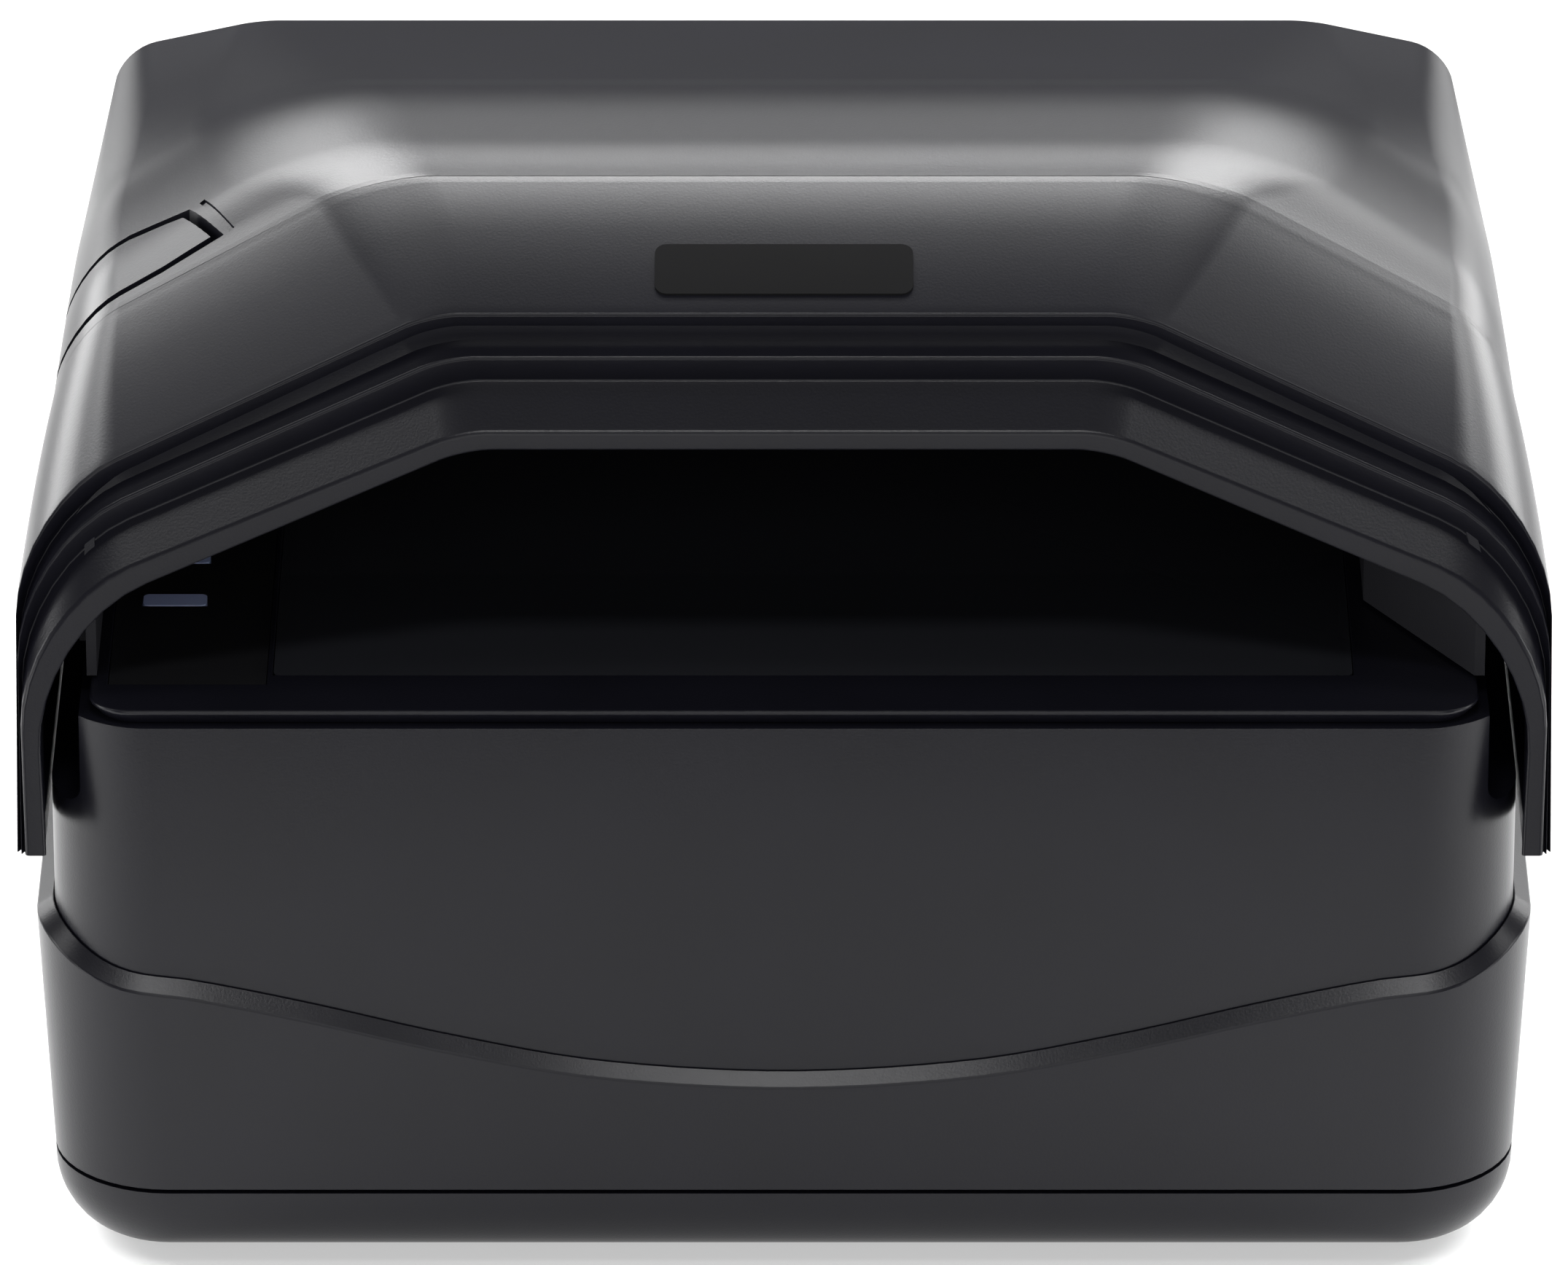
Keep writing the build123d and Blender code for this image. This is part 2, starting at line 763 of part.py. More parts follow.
def thinned(station, side, top, forward=0):
    """The same outline moved inwards by the wall."""
    inner = dict(station)
    inner["foot_half"] = station["foot_half"] - side
    inner["side_half"] = station["side_half"] - top
    inner["side_z"] = station["side_z"] - top
    inner["top_z"] = station["top_z"] - top
    inner["flat_half"] = station["flat_half"] - top / 4
    inner["foot_y"] = station["foot_y"] - forward
    inner["drop"] = overrun
    return inner


def skin(stations, straight):
    return loft([arch(**s) for s in stations], ruled=straight)


def hood_outer():
    rim, band_end, step_one, tread_end, step_two = rim_stations()
    mid, crease, plateau, fall, back, rear = body_stations()
    body = skin([rim, band_end], True)
    body += skin([step_one, tread_end], True)
    body += skin([step_two, mid, crease], False)
    body += skin([crease, plateau], True)
    body += skin([plateau, fall, back], False)
    body += skin([back, rear], True)
    return body


def hood_inner(wall_thickness):
    """The space inside the hood."""
    rim, band_end, step_one, tread_end, step_two = rim_stations()
    stations = [rim, band_end, tread_end]
    inner = [thinned(s, leg_thickness, wall_thickness) for s in stations]
    start = dict(inner[0])
    start["foot_y"] = inner[0]["foot_y"] - overrun
    inner = [start] + inner
    rest = [thinned(s, wall_thickness, wall_thickness) for s in body_stations()]
    mid, crease, plateau, fall, back, rear = rest
    rear["foot_y"] = rear["foot_y"] - wall_thickness
    space = skin(inner[:2], True)
    space += skin(inner[1:3], True)
    space += skin(inner[2:4], True)
    space += skin([inner[3], mid, crease], False)
    space += skin([crease, plateau], True)
    space += skin([plateau, fall, back], False)
    space += skin([back, rear], True)
    return space


def hood_body():
    return hood_outer() - hood_inner(hood_wall)


def tab_slot():
    """The opening in the hood's left shoulder that the tab fills, with room for its arm."""
    y0 = tab_front - tab_gap
    y1 = tab_front + tab_width + tab_gap
    slot = block(-skirt_foot_half - overrun, tab_inner_x + tab_end_gap, y0, y1, tab_bottom - tab_gap,
                 plateau_top + overrun)
    relief_x = -neck_half_width - play - arm_thickness - arm_relief
    return slot + block(relief_x, -neck_half_width, y0, y1, leg_foot - overrun, tab_bottom)


def guide_ribs():
    """Ribs inside the hood's sides that stand on the recess shoulders of the upper shell."""
    ribs = []
    for middle in (depth_at(rib_front_share), depth_at(rib_rear_share)):
        rib = block(neck_half_width + play, skirt_foot_half, middle - rib_length / 2, middle + rib_length / 2,
                    shoulder_height, rib_top)
        edge = rib.edges().filter_by(Axis.Y).group_by(Axis.Z)[0].sort_by(Axis.X)[0]
        rib = chamfer(edge, recess_round + play)
        ribs += [rib, mirror(rib, about=Plane.YZ)]
    return ribs


def tab_ears():
    """The two ears under the hood that carry the tab's pin."""
    ears = []
    for y0 in (tab_front - tab_gap - ear_thickness, tab_front + tab_width + tab_gap):
        ears.append(block(pin_x - ear_reach, pin_x + ear_reach, y0, y0 + ear_thickness, pin_z - ear_reach,
                          plateau_top))
    return ears


def pin_rod(radius):
    y0 = tab_front - tab_gap - ear_thickness
    length = tab_width + 2 * (tab_gap + ear_thickness)
    return rod(radius, length, pin_x, y0, pin_z, Axis.Y)


def lug_places():
    """Where the liner is screwed to the hood: two places behind it and one on its right."""
    beyond = lug_size / 2 + liner_thickness
    return [(liner_left + lug_inset, liner_rear + beyond), (liner_right - lug_inset, liner_rear + beyond),
            (liner_right + beyond, (liner_front + liner_rear) / 2)]


def hood_shell():
    outer = hood_outer()
    shell = outer - hood_inner(hood_wall)
    rear_trim = block(-upper_half_width - play, upper_half_width + play, neck_rear - overrun,
                      half_depth + overrun, leg_foot - overrun, shoulder_height + play)
    shell = shell - rear_trim - tab_slot()
    extras = guide_ribs() + tab_ears()
    for x, y in lug_places():
        extras.append(rod(lug_size / 2 - liner_thickness, plateau_top - lug_z, x, y, lug_z))
    for extra in extras:
        shell += extra & outer
    shell -= pin_rod(pin_radius + press_gap)
    for x, y in lug_places():
        shell -= rod(lug_screw_radius + press_gap, lug_screw_length, x, y, lug_z - overrun)
    return shell


def liner_prism(spread):
    """The funnel's plan, grown outwards, as an upright block that is open to the front."""
    left = liner_left - spread
    rear = liner_rear + spread
    right = liner_right + spread
    front = liner_right_front + spread
    path = Polyline((left, liner_front), (left, rear), (right, rear), (right, liner_turn_y),
                    (front, liner_front), (left, liner_front))
    bottom = bezel_top + liner_stand
    return extrude(Plane.XY.offset(bottom) * make_face(path), plateau_top - bottom)


def hood_liner():
    walls = liner_prism(liner_thickness) - liner_prism(0)
    walls &= hood_inner(hood_wall + play)
    notch_y0 = tab_front - tab_gap - ear_thickness - liner_notch
    notch_y1 = tab_front + tab_width + tab_gap + ear_thickness + liner_notch
    walls -= block(liner_left - 2 * liner_thickness, tab_inner_x, notch_y0, notch_y1, notch_bottom,
                   plateau_top)
    places = lug_places()
    for x, y in places[:2]:
        walls += block(x - lug_size / 2, x + lug_size / 2, liner_rear + fit_gap, y + lug_size / 2,
                       lug_z - lug_thickness, lug_z)
    x, y = places[2]
    walls += block(liner_right + fit_gap, x + lug_size / 2, y - lug_size / 2, y + lug_size / 2,
                   lug_z - lug_thickness, lug_z)
    pad_y = depth_at(rib_front_share)
    walls += block(-neck_half_width - play, liner_left - fit_gap, pad_y - rib_length / 2,
                   pad_y + rib_length / 2, pad_bottom, pad_top)
    for x, y in places:
        walls -= rod(lug_screw_radius + fit_gap, lug_size, x, y, lug_z - lug_size / 2)
    return walls


def liner_screws():
    screws = []
    for x, y in lug_places():
        bottom = lug_z - lug_thickness - lug_head_height
        screw = rod(lug_head_radius, lug_head_height, x, y, bottom)
        middle = bottom + lug_head_height / 2
        screw += rod(lug_screw_radius, lug_head_height / 2 + lug_screw_length, x, y, middle)
        screws.append(screw)
    return group(screws)


def release_tab():
    """A rocking plate flush with the hood's left shoulder; its hooked arm reaches down to the casing."""
    middle = tab_front + tab_width / 2
    y1 = tab_front + tab_width
    outer = hood_outer()
    window = block(-skirt_foot_half - overrun, tab_inner_x, tab_front, y1, tab_bottom, plateau_top + overrun)
    tab = hood_body() & window
    spring_room = spring_pitch * (spring_turns + 2)
    knuckle_y = tab_front + spring_room
    tab += rod(knuckle_radius, y1 - knuckle_y, pin_x, knuckle_y, pin_z, Axis.Y)
    tab += block(pin_x - knuckle_web / 2, pin_x + knuckle_web / 2, knuckle_y, y1, pin_z, plateau_top) & outer
    arm_x = -neck_half_width - play
    tab += block(arm_x - arm_thickness, arm_x, middle - arm_width / 2, middle + arm_width / 2, arm_bottom,
                 arm_top) & outer
    tab += block(arm_x - arm_thickness, arm_x + hook_reach, middle - arm_width / 2, middle + arm_width / 2,
                 arm_bottom, arm_bottom + hook_height)
    return tab - pin_rod(pin_radius + running_gap)


def tab_pin():
    return pin_rod(pin_radius)


def tab_spring():
    """A small torsion spring wound on the pin beside the knuckle; its leg pushes the tab out."""
    radius = pin_radius + spring_wire + running_gap
    start = tab_front + spring_pitch / 2
    coil = Helix(pitch=spring_pitch, height=spring_pitch * spring_turns, radius=radius,
                 center=(pin_x, start, pin_z), direction=(0, 1, 0))
    spring = sweep(Plane(origin=coil @ 0, z_dir=coil % 0) * Circle(spring_wire), path=coil)
    leg = extrude(Plane(origin=coil @ 1, z_dir=coil % 1) * Circle(spring_wire), spring_leg)
    return spring + leg


def name_plate():
    """A bare plate that follows the hood's front slope."""
    slope = math.radians(plate_tilt)
    normal = (0, -math.sin(slope), math.cos(slope))
    rim, band_end, step_one, tread_end, step_two = rim_stations()
    mid, crease, plateau, fall, back, rear = body_stations()
    front = skin([step_two, mid, crease], False)
    top = plate_top_width / 2
    low = plate_bottom_width / 2
    half = plate_height / 2
    outline = make_face(Polyline((-low, -half), (low, -half), (top, half), (-top, half), (-low, -half)))
    outline = fillet(outline.vertices(), plate_corner)
    place = Plane(origin=(0, plate_y, plate_z), x_dir=(1, 0, 0), z_dir=normal)
    prism = extrude(place * outline, plate_height, both=True)
    lift = Pos(0, normal[1] * plate_thickness, normal[2] * plate_thickness)
    return (lift * front & prism) - hood_outer()


# Optics


def optical_chamber():
    """The dark box under the glass, with a ledge for the gasket and a port for the lens."""
    body = block(chamber_left, chamber_right, chamber_front, chamber_rear, chamber_bottom, deck_top)
    body -= block(chamber_left + chamber_wall, chamber_right - chamber_wall, chamber_front + chamber_wall,
                  chamber_rear - chamber_wall, chamber_bottom + chamber_wall, deck_top - chamber_wall)
    body -= block(glass_left + gasket_width, glass_right - gasket_width, glass_front + gasket_width,
                  glass_rear - gasket_width, chamber_bottom + chamber_wall, deck_top + overrun)
    port_y = chamber_rear - chamber_wall - overrun
    return body - rod(port_radius, chamber_wall + 2 * overrun, optics_x, port_y, optics_z, Axis.Y)


def chamber_spacers():
    spacers = []
    for x in (chamber_left + spacer_inset, chamber_right - spacer_inset):
        for y in (chamber_front + spacer_inset, chamber_rear - spacer_inset):
            spacers.append(rod(spacer_radius, chamber_bottom - board_top(), x, y, board_top()))
    return group(spacers)


def mirror_plane(back):
    """The mirror's own plane, moved towards its back."""
    tilt = math.radians(mirror_tilt)
    normal = (0, math.sin(tilt), math.cos(tilt))
    origin = (optics_x, mirror_y - back * normal[1], mirror_z - back * normal[2])
    return Plane(origin=origin, x_dir=(1, 0, 0), z_dir=normal)


def fold_mirror():
    return mirror_plane(0) * Box(mirror_width, mirror_length, mirror_thickness)


def mirror_bracket():
    """A sloped plate behind the mirror on two gussets that stand on the chamber's floor."""
    half = mirror_thickness / 2
    back = mirror_plane(half + bracket_back / 2) * Box(mirror_width, mirror_length, bracket_back)
    edge = mirror_plane(half + bracket_back)
    high = edge.from_local_coords((0, mirror_length / 2, 0))
    low = edge.from_local_coords((0, -mirror_length / 2, 0))
    floor = chamber_bottom + chamber_wall
    side = Polyline((0, high.Y, high.Z), (0, low.Y, low.Z), (0, low.Y, floor), (0, high.Y, floor),
                    (0, high.Y, high.Z))
    cheek = extrude(make_face(side), cheek_thickness, dir=(1, 0, 0))
    for x in (optics_x - mirror_width / 2, optics_x + mirror_width / 2 - cheek_thickness):
        back += Pos(x, 0, 0) * cheek
    return back


def camera_face():
    """The front face of the camera board."""
    return chamber_rear + post_length


def camera_posts():
    half = post_spacing / 2
    posts = []
    for x, z in corner_places(half, half):
        posts.append(rod(post_radius, post_length, optics_x + x, chamber_rear, optics_z + z, Axis.Y))
    return group(posts)


def camera_board():
    half = camera_board_size / 2
    return block(optics_x - half, optics_x + half, camera_face(), camera_face() + board_thickness,
                 optics_z - half, optics_z + half)


def image_sensor():
    half = sensor_size / 2
    return block(optics_x - half, optics_x + half, camera_face() - sensor_thickness, camera_face(),
                 optics_z - half, optics_z + half)


def lens_mount():
    half = lens_mount_size / 2
    front = camera_face() - lens_mount_length
    body = block(optics_x - half, optics_x + half, front, camera_face(), optics_z - half, optics_z + half)
    body = fillet(body.edges().filter_by(Axis.Y), bezel_round)
    body -= rod(barrel_radius + thread_gap, barrel_in_mount, optics_x, front, optics_z, Axis.Y)
    hollow = sensor_size / 2 + play
    return body - block(optics_x - hollow, optics_x + hollow, front, camera_face() + overrun,
                        optics_z - hollow, optics_z + hollow)


def barrel_front():
    return camera_face() - lens_mount_length + barrel_in_mount - barrel_length


def lens_barrel():
    tube = rod(barrel_radius, barrel_length, optics_x, barrel_front(), optics_z, Axis.Y)
    return tube - rod(barrel_bore, barrel_length, optics_x, barrel_front(), optics_z, Axis.Y)


def lens_element():
    y0 = barrel_front() + element_setback
    lens = rod(barrel_bore - thread_gap, element_thickness, optics_x, y0, optics_z, Axis.Y)
    return fillet(lens.edges().group_by(Axis.Y)[0], element_thickness / 2)


def lens_lock_ring():
    y0 = camera_face() - lens_mount_length - lock_ring_length
    ring = rod(lock_ring_radius, lock_ring_length, optics_x, y0, optics_z, Axis.Y)
    return ring - rod(barrel_radius + thread_gap, lock_ring_length, optics_x, y0, optics_z, Axis.Y)


def side_faces():
    """The chamber's two inner side faces, each with the direction into the chamber."""
    return [(chamber_left + chamber_wall, 1), (chamber_right - chamber_wall, -1)]


def strip(x, inward, near, far, y0, y1, z0, z1):
    """A block that stands off a side face by two distances."""
    a = x + inward * near
    b = x + inward * far
    return block(min(a, b), max(a, b), y0, y1, z0, z1)


def light_boards():
    half = light_board_length / 2
    tall = light_board_height / 2
    return group([strip(x, way, 0, board_thickness, light_board_y - half, light_board_y + half,
                        light_board_z - tall, light_board_z + tall) for x, way in side_faces()])


def light_emitters():
    pitch = light_board_length / emitter_count
    half = emitter_size / 2
    solids = []
    for x, way in side_faces():
        for k in range(emitter_count):
            y = light_board_y + (k - (emitter_count - 1) / 2) * pitch
            solids.append(strip(x, way, board_thickness, board_thickness + emitter_height, y - half, y + half,
                                light_board_z - half, light_board_z + half))
    return group(solids)


def light_diffusers():
    """Channel-shaped covers over the light boards."""
    half = light_board_length / 2
    tall = light_board_height / 2
    far = board_thickness + diffuser_gap + diffuser_thickness
    covers = []
    for x, way in side_faces():
        cover = strip(x, way, board_thickness, far, light_board_y - half, light_board_y + half,
                      light_board_z - tall, light_board_z + tall)
        cover -= strip(x, way, 0, far - diffuser_thickness, light_board_y - half - overrun,
                       light_board_y + half + overrun, light_board_z - tall + diffuser_thickness,
                       light_board_z + tall - diffuser_thickness)
        covers.append(cover)
    return group(covers)


def antenna_board():
    """A frame-shaped board under the deck that holds the chip reader's loop."""
    top = deck_top - deck_thickness
    board = block(antenna_left, antenna_right, antenna_front, antenna_rear, top - board_thickness, top)
    board -= block(chamber_left - play, chamber_right + play, chamber_front - play, chamber_rear + play,
                   top - board_thickness - overrun, top + overrun)
    x, y = status_board_middle()
    half = status_board_length / 2 + play
    board -= block(antenna_left - overrun, x + status_board_width / 2 + play, y - half, y + half,
                   top - board_thickness - overrun, top + overrun)
    start = top - board_thickness - overrun
    for x, y in corner_places(column_x, column_y):
        board -= rod(column_radius + play, board_thickness + 2 * overrun, x, y, start)
    return board


# Electronics


def board_top():
    return main_bottom + board_thickness


def main_board():
    board = block(-main_half_width, main_half_width, main_front, main_rear, main_bottom, board_top())
    for x, y in main_board_screw_places():
        board -= rod(board_screw_radius + fit_gap, board_thickness + 2 * overrun, x, y, main_bottom - overrun)
    return board


def board_screws():
    screws = []
    for x, y in main_board_screw_places():
        screw = rod(board_screw_head, board_screw_head_height, x, y, board_top())
        shank = board_screw_length + board_screw_head_height / 2
        screw += rod(board_screw_radius, shank, x, y, board_top() - board_screw_length)
        screws.append(screw)
    return group(screws)


def processor():
    half = processor_size / 2
    return block(processor_x - half, processor_x + half, processor_y - half, processor_y + half,
                 board_top(), board_top() + processor_height)


def heat_spreader():
    half = spreader_size / 2
    bottom = board_top() + processor_height
    top = bottom + spreader_height
    body = block(processor_x - half, processor_x + half, processor_y - half, processor_y + half, bottom, top)
    pitch = spreader_size / (spreader_grooves + 1)
    wide = pitch * groove_width_share
    for k in range(spreader_grooves):
        x = processor_x - half + (k + 1) * pitch
        body -= block(x - wide / 2, x + wide / 2, processor_y - half - overrun, processor_y + half + overrun,
                      top - spreader_height * groove_depth_share, top + overrun)
    return body


def buzzer():
    can = rod(buzzer_radius, buzzer_height, buzzer_x, buzzer_y, board_top())
    return can - rod(buzzer_hole, buzzer_height, buzzer_x, buzzer_y, board_top() + buzzer_height / 2)


def board_headers():
    """Connectors for the flat cables: two on the main board and one on the camera board."""
    long_half = header_length / 2
    deep_half = header_depth / 2
    top = board_top() + header_height
    y = status_board_middle()[1]
    header_y = camera_face() - camera_header_depth / 2
    lying = block(optics_x - long_half, optics_x + long_half, header_y - deep_half, header_y + deep_half,
                  board_top(), top)
    inner = main_half_width + status_ribbon_x
    side = block(status_ribbon_x - inner, status_ribbon_x + deep_half, y - long_half, y + long_half,
                 board_top(), top)
    upright = block(optics_x - long_half, optics_x + long_half, camera_face() - camera_header_depth,
                    camera_face(), camera_header_bottom, camera_header_bottom + header_height)
    return group([lying, side, upright])


def camera_ribbon():
    half = ribbon_width / 2
    y = camera_face() - camera_header_depth / 2
    return block(optics_x - half, optics_x + half, y - ribbon_thickness / 2, y + ribbon_thickness / 2,
                 board_top() + header_height, camera_header_bottom)


def status_board_middle():
    return ((light_left + light_right) / 2, light_first_y + light_pitch * (light_count - 1) / 2)


def status_board():
    """The small board that hangs under the deck below the status lights."""
    x, y = status_board_middle()
    top = deck_top - deck_thickness
    return block(x - status_board_width / 2, x + status_board_width / 2, y - status_board_length / 2,
                 y + status_board_length / 2, top - board_thickness, top)


def status_lights():
    x = status_board_middle()[0]
    half = status_light_size / 2
    top = deck_top - deck_thickness
    return group([block(x - half, x + half, y - half, y + half, top, top + status_light_height)
                  for y in light_bar_places()])


def status_ribbon():
    y = status_board_middle()[1]
    half = status_ribbon_width / 2
    return block(status_ribbon_x - ribbon_thickness / 2, status_ribbon_x + ribbon_thickness / 2, y - half,
                 y + half, board_top() + header_height, deck_top - deck_thickness - board_thickness)


# Rear connectors


def panel_back():
    """The connector panel's inner face, which the sockets touch."""
    return panel_face_y - panel_thickness


def data_mouth(spread, y0, y1):
    wide = data_mouth_width / 2 + spread
    tall = data_mouth_height / 2 + spread
    return block(data_x - wide, data_x + wide, y0, y1, socket_mouth_z - tall, socket_mouth_z + tall)


def rear_connector_panel():
    wide = panel_half_width - fit_gap
    panel = block(-wide, wide, panel_back(), panel_face_y, panel_bottom + fit_gap,
                  panel_bottom + panel_height - fit_gap)
    panel -= data_mouth(play, panel_back() - overrun, panel_face_y + overrun)
    return panel - rod(power_mouth_radius + play, panel_thickness + 2 * overrun, power_x,
                       panel_back() - overrun, socket_mouth_z, Axis.Y)


def data_socket():
    y1 = panel_back()
    y0 = y1 - data_depth
    body = block(data_x - data_width / 2, data_x + data_width / 2, y0, y1, board_top(),
                 board_top() + socket_height)
    body -= data_mouth(0, y1 - data_mouth_depth, y1 + overrun)
    tongue = data_tongue_height / 2
    body += block(data_x - data_mouth_width / 4, data_x + data_mouth_width / 4,
                  y1 - data_mouth_depth - fit_gap, y1 - data_mouth_depth / 2, socket_mouth_z - tongue,
                  socket_mouth_z + tongue)
    return body


def power_inlet():
    y1 = panel_back()
    y0 = y1 - power_depth
    body = block(power_x - power_width / 2, power_x + power_width / 2, y0, y1, board_top(),
                 board_top() + socket_height)
    mouth_y = y1 - power_mouth_depth
    body -= rod(power_mouth_radius, power_mouth_depth + overrun, power_x, mouth_y, socket_mouth_z, Axis.Y)
    return body + rod(power_pin_radius, power_mouth_depth / 2, power_x, mouth_y, socket_mouth_z, Axis.Y)


nodes = [
    base_tray, lower_shell, upper_shell, rubber_feet, base_screws, scan_bezel, scan_glass, glass_gasket,
    status_panel, status_light_pipes, hood_shell, hood_liner, liner_screws, release_tab, tab_pin,
    tab_spring, name_plate, optical_chamber, chamber_spacers, fold_mirror, mirror_bracket, camera_posts,
    camera_board, image_sensor, lens_mount, lens_barrel, lens_element, lens_lock_ring, light_boards,
    light_emitters, light_diffusers, antenna_board, main_board, board_screws, processor, heat_spreader,
    buzzer, board_headers, camera_ribbon, status_board, status_lights, status_ribbon,
    rear_connector_panel, data_socket, power_inlet,
]

for make in nodes:
    save(make.__name__, make())
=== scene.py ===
import json
import math

import bmesh
import bpy
from bpy.props import FloatProperty, FloatVectorProperty, IntProperty, PointerProperty
from mathutils import Matrix, Vector


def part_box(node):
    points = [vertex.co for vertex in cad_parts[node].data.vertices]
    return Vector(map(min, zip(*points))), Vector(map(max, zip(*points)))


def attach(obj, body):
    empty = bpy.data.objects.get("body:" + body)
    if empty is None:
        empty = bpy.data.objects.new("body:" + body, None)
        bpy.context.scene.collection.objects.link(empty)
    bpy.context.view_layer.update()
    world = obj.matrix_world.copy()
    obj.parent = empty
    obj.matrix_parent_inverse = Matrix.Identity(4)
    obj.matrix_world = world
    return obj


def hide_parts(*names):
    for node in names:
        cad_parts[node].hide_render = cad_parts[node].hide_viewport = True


bl_info = {
    "name": "Passport reader",
    "version": (1, 0, 0),
    "blender": (4, 5, 0),
    "location": "View3D > Sidebar > Reader",
    "description": "Dresses the passport reader: hood, casing, scan window, finishes and stage",
    "category": "Object",
}

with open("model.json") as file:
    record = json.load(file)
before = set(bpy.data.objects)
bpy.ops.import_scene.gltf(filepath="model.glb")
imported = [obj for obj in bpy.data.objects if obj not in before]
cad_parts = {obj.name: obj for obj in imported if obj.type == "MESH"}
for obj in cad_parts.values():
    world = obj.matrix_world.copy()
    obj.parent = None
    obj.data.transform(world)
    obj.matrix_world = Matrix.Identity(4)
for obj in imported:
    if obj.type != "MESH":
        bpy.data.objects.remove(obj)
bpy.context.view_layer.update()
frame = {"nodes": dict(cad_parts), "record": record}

# Shapes are drawn in millimetres and brought to metres when a piece is finished.
TO_METRES = 0.001
# A point that is this close to a plane lies on it.
NEAR = 0.001
# Where cutting blocks end outside the casing, to its sides and elsewhere, and above the hood.
PAST_SIDES, PAST_CASING, PAST_HOOD = 100.0, 90.0, 130.0

# The height of the hood's feet, where each outline starts, and the widest that it may be, which
# keeps it inside the solids' box.
LEG_FOOT, HOOD_HALF_WIDTH = 56.0, 90.899
# The hood's outlines from the rim to the rear. Each lies on a leaning plane: the places of the
# plane's foot and top along y, the height and the half width of the flat on top, the half width
# and the height of the shoulder, the foot's half width, and the radii of the shoulder and of the
# flat's end.
OUTLINE_VALUES = ("foot_y", "top_y", "top_z", "flat", "side", "side_z", "foot", "side_round",
                  "top_round")
RIM = (-72.5, -60.1, 105.4, 38.0, 90.4, 84.3, 89.6, 21.0, 16.0)
BAND_END = (-71.3, -54.2, 109.5, 38.9, 89.9, 88.6, 89.7, 21.0, 16.0)
STEP_ONE = (-72.3, -55.8, 113.1, 39.8, 90.5, 91.4, 90.1, 21.0, 16.0)
TREAD_END = (-70.7, -52.0, 114.3, 40.7, 90.0, 93.0, 90.1, 21.0, 16.0)
STEP_TWO = (-71.7, -53.9, 117.8, 41.6, 90.5, 95.9, 90.6, 21.0, 16.0)
FRONT_MID = (-52.0, -41.1, 122.8, 45.4, 88.4, 101.2, 90.9, 18.0, 28.0)
CREASE = (-38.5, -31.1, 125.4, 48.9, 86.6, 104.9, 90.9, 16.0, 30.0)
PLATEAU_EDGE = (-36.7, -29.7, 125.45, 49.8, 86.5, 105.15, 90.9, 16.0, 31.0)
PLATEAU = (-24.0, -19.6, 125.75, 56.0, 85.9, 106.6, 90.9, 15.0, 44.0)
FALL = (-3.5, -2.0, 123.6, 60.5, 85.3, 106.8, 90.9, 15.0, 42.0)
BACK = (16.0, 15.7, 117.6, 63.5, 85.0, 104.2, 90.9, 15.0, 36.0)
REAR = (71.7, 70.0, 101.6, 66.0, 83.6, 97.6, 90.1, 7.0, 22.0)

# The release tab seen from above, from the hood's side inwards and back, with its slot and the
# score line past its inner end. The slot reaches a little lower than the tab's plate.
TAB_PLAN = ((-100.0, -30.6), (-84.0, -29.6), (-74.0, -28.7), (-68.3, -27.7), (-71.9, -21.0),
            (-78.5, -18.7), (-100.0, -18.7))
SLOT_PLAN = ((-100.0, -31.75), (-84.0, -30.75), (-74.0, -29.85), (-66.65, -28.6), (-71.1, -20.0),
             (-78.35, -17.55), (-100.0, -17.55))
SCORE_PLAN = ((-69.9, -20.0), (-69.3, -19.7), (-65.4, -28.2), (-66.0, -28.5))
TAB_LOW, SLOT_DEEPER = 90.6, 0.85
SCORE_FROM, SCORE_DEPTH = 112.0, 0.35
# The pin that the tab rocks on, as x and z; the tab's arm and the hook at its foot; and the hub
# and the post that hang the plate on the pin.
TAB_PIN = (-79.5, 101.5)
ARM = ((-85.1, -28.7, 62.6), (-83.5, -20.7, 97.0))
HOOK = ((-84.0, -28.7, 62.6), (-83.3, -20.7, 66.0))
HUB_RADIUS, HUB_FRONT, HUB_REAR = 2.2, -26.9, -20.2
POST_HALF_WIDTH, POST_START, POST_TOP = 1.5, 1.0, 106.6

# What is cut from the hood: the foot of its rear wall between the legs, and a groove for the arm.
REAR_FOOT = ((-87.3, 65.6, 50.0), (87.3, 80.0, 60.5))
ARM_GROOVE = ((-86.0, -29.6, 50.0), (-83.2, -19.6, TAB_LOW))
# What stands inside it: guide ribs, which lean in with the wall; a lip inside each leg; two ears
# for the tab's pin, whose outer tops are lower; and lugs for the liner's screws, by x, y and top.
RIB = ((-2.0, -3.5, 60.2), (2.0, 3.5, 82.0))
RIB_SIDE, RIB_PLACES, RIB_LEAN = 85.5, (-18.0, 44.0), 1.6
LEG_LIP = ((87.3, -69.5, LEG_FOOT + 0.2), (89.0, 63.5, 60.4))
EAR = ((-82.5, -1.3, 98.5), (-76.5, 1.3, 108.0))
EAR_PLACES, EAR_DROP = (-32.8, -16.6), 4.2
LUGS = ((-60.0, 43.2, 108.2), (48.0, 43.2, 108.2), (74.4, -12.0, 111.5))
LUG_RADIUS, LUG_FOOT = 2.8, 94.0

# The name plate: its thickness, how far it stands out of the slope, its corners' radius, and a
# height under all of it.
PLATE_WALL, PLATE_PROUD, PLATE_CORNER, PLATE_FROM = 0.7, 0.25, 1.4, 110.0

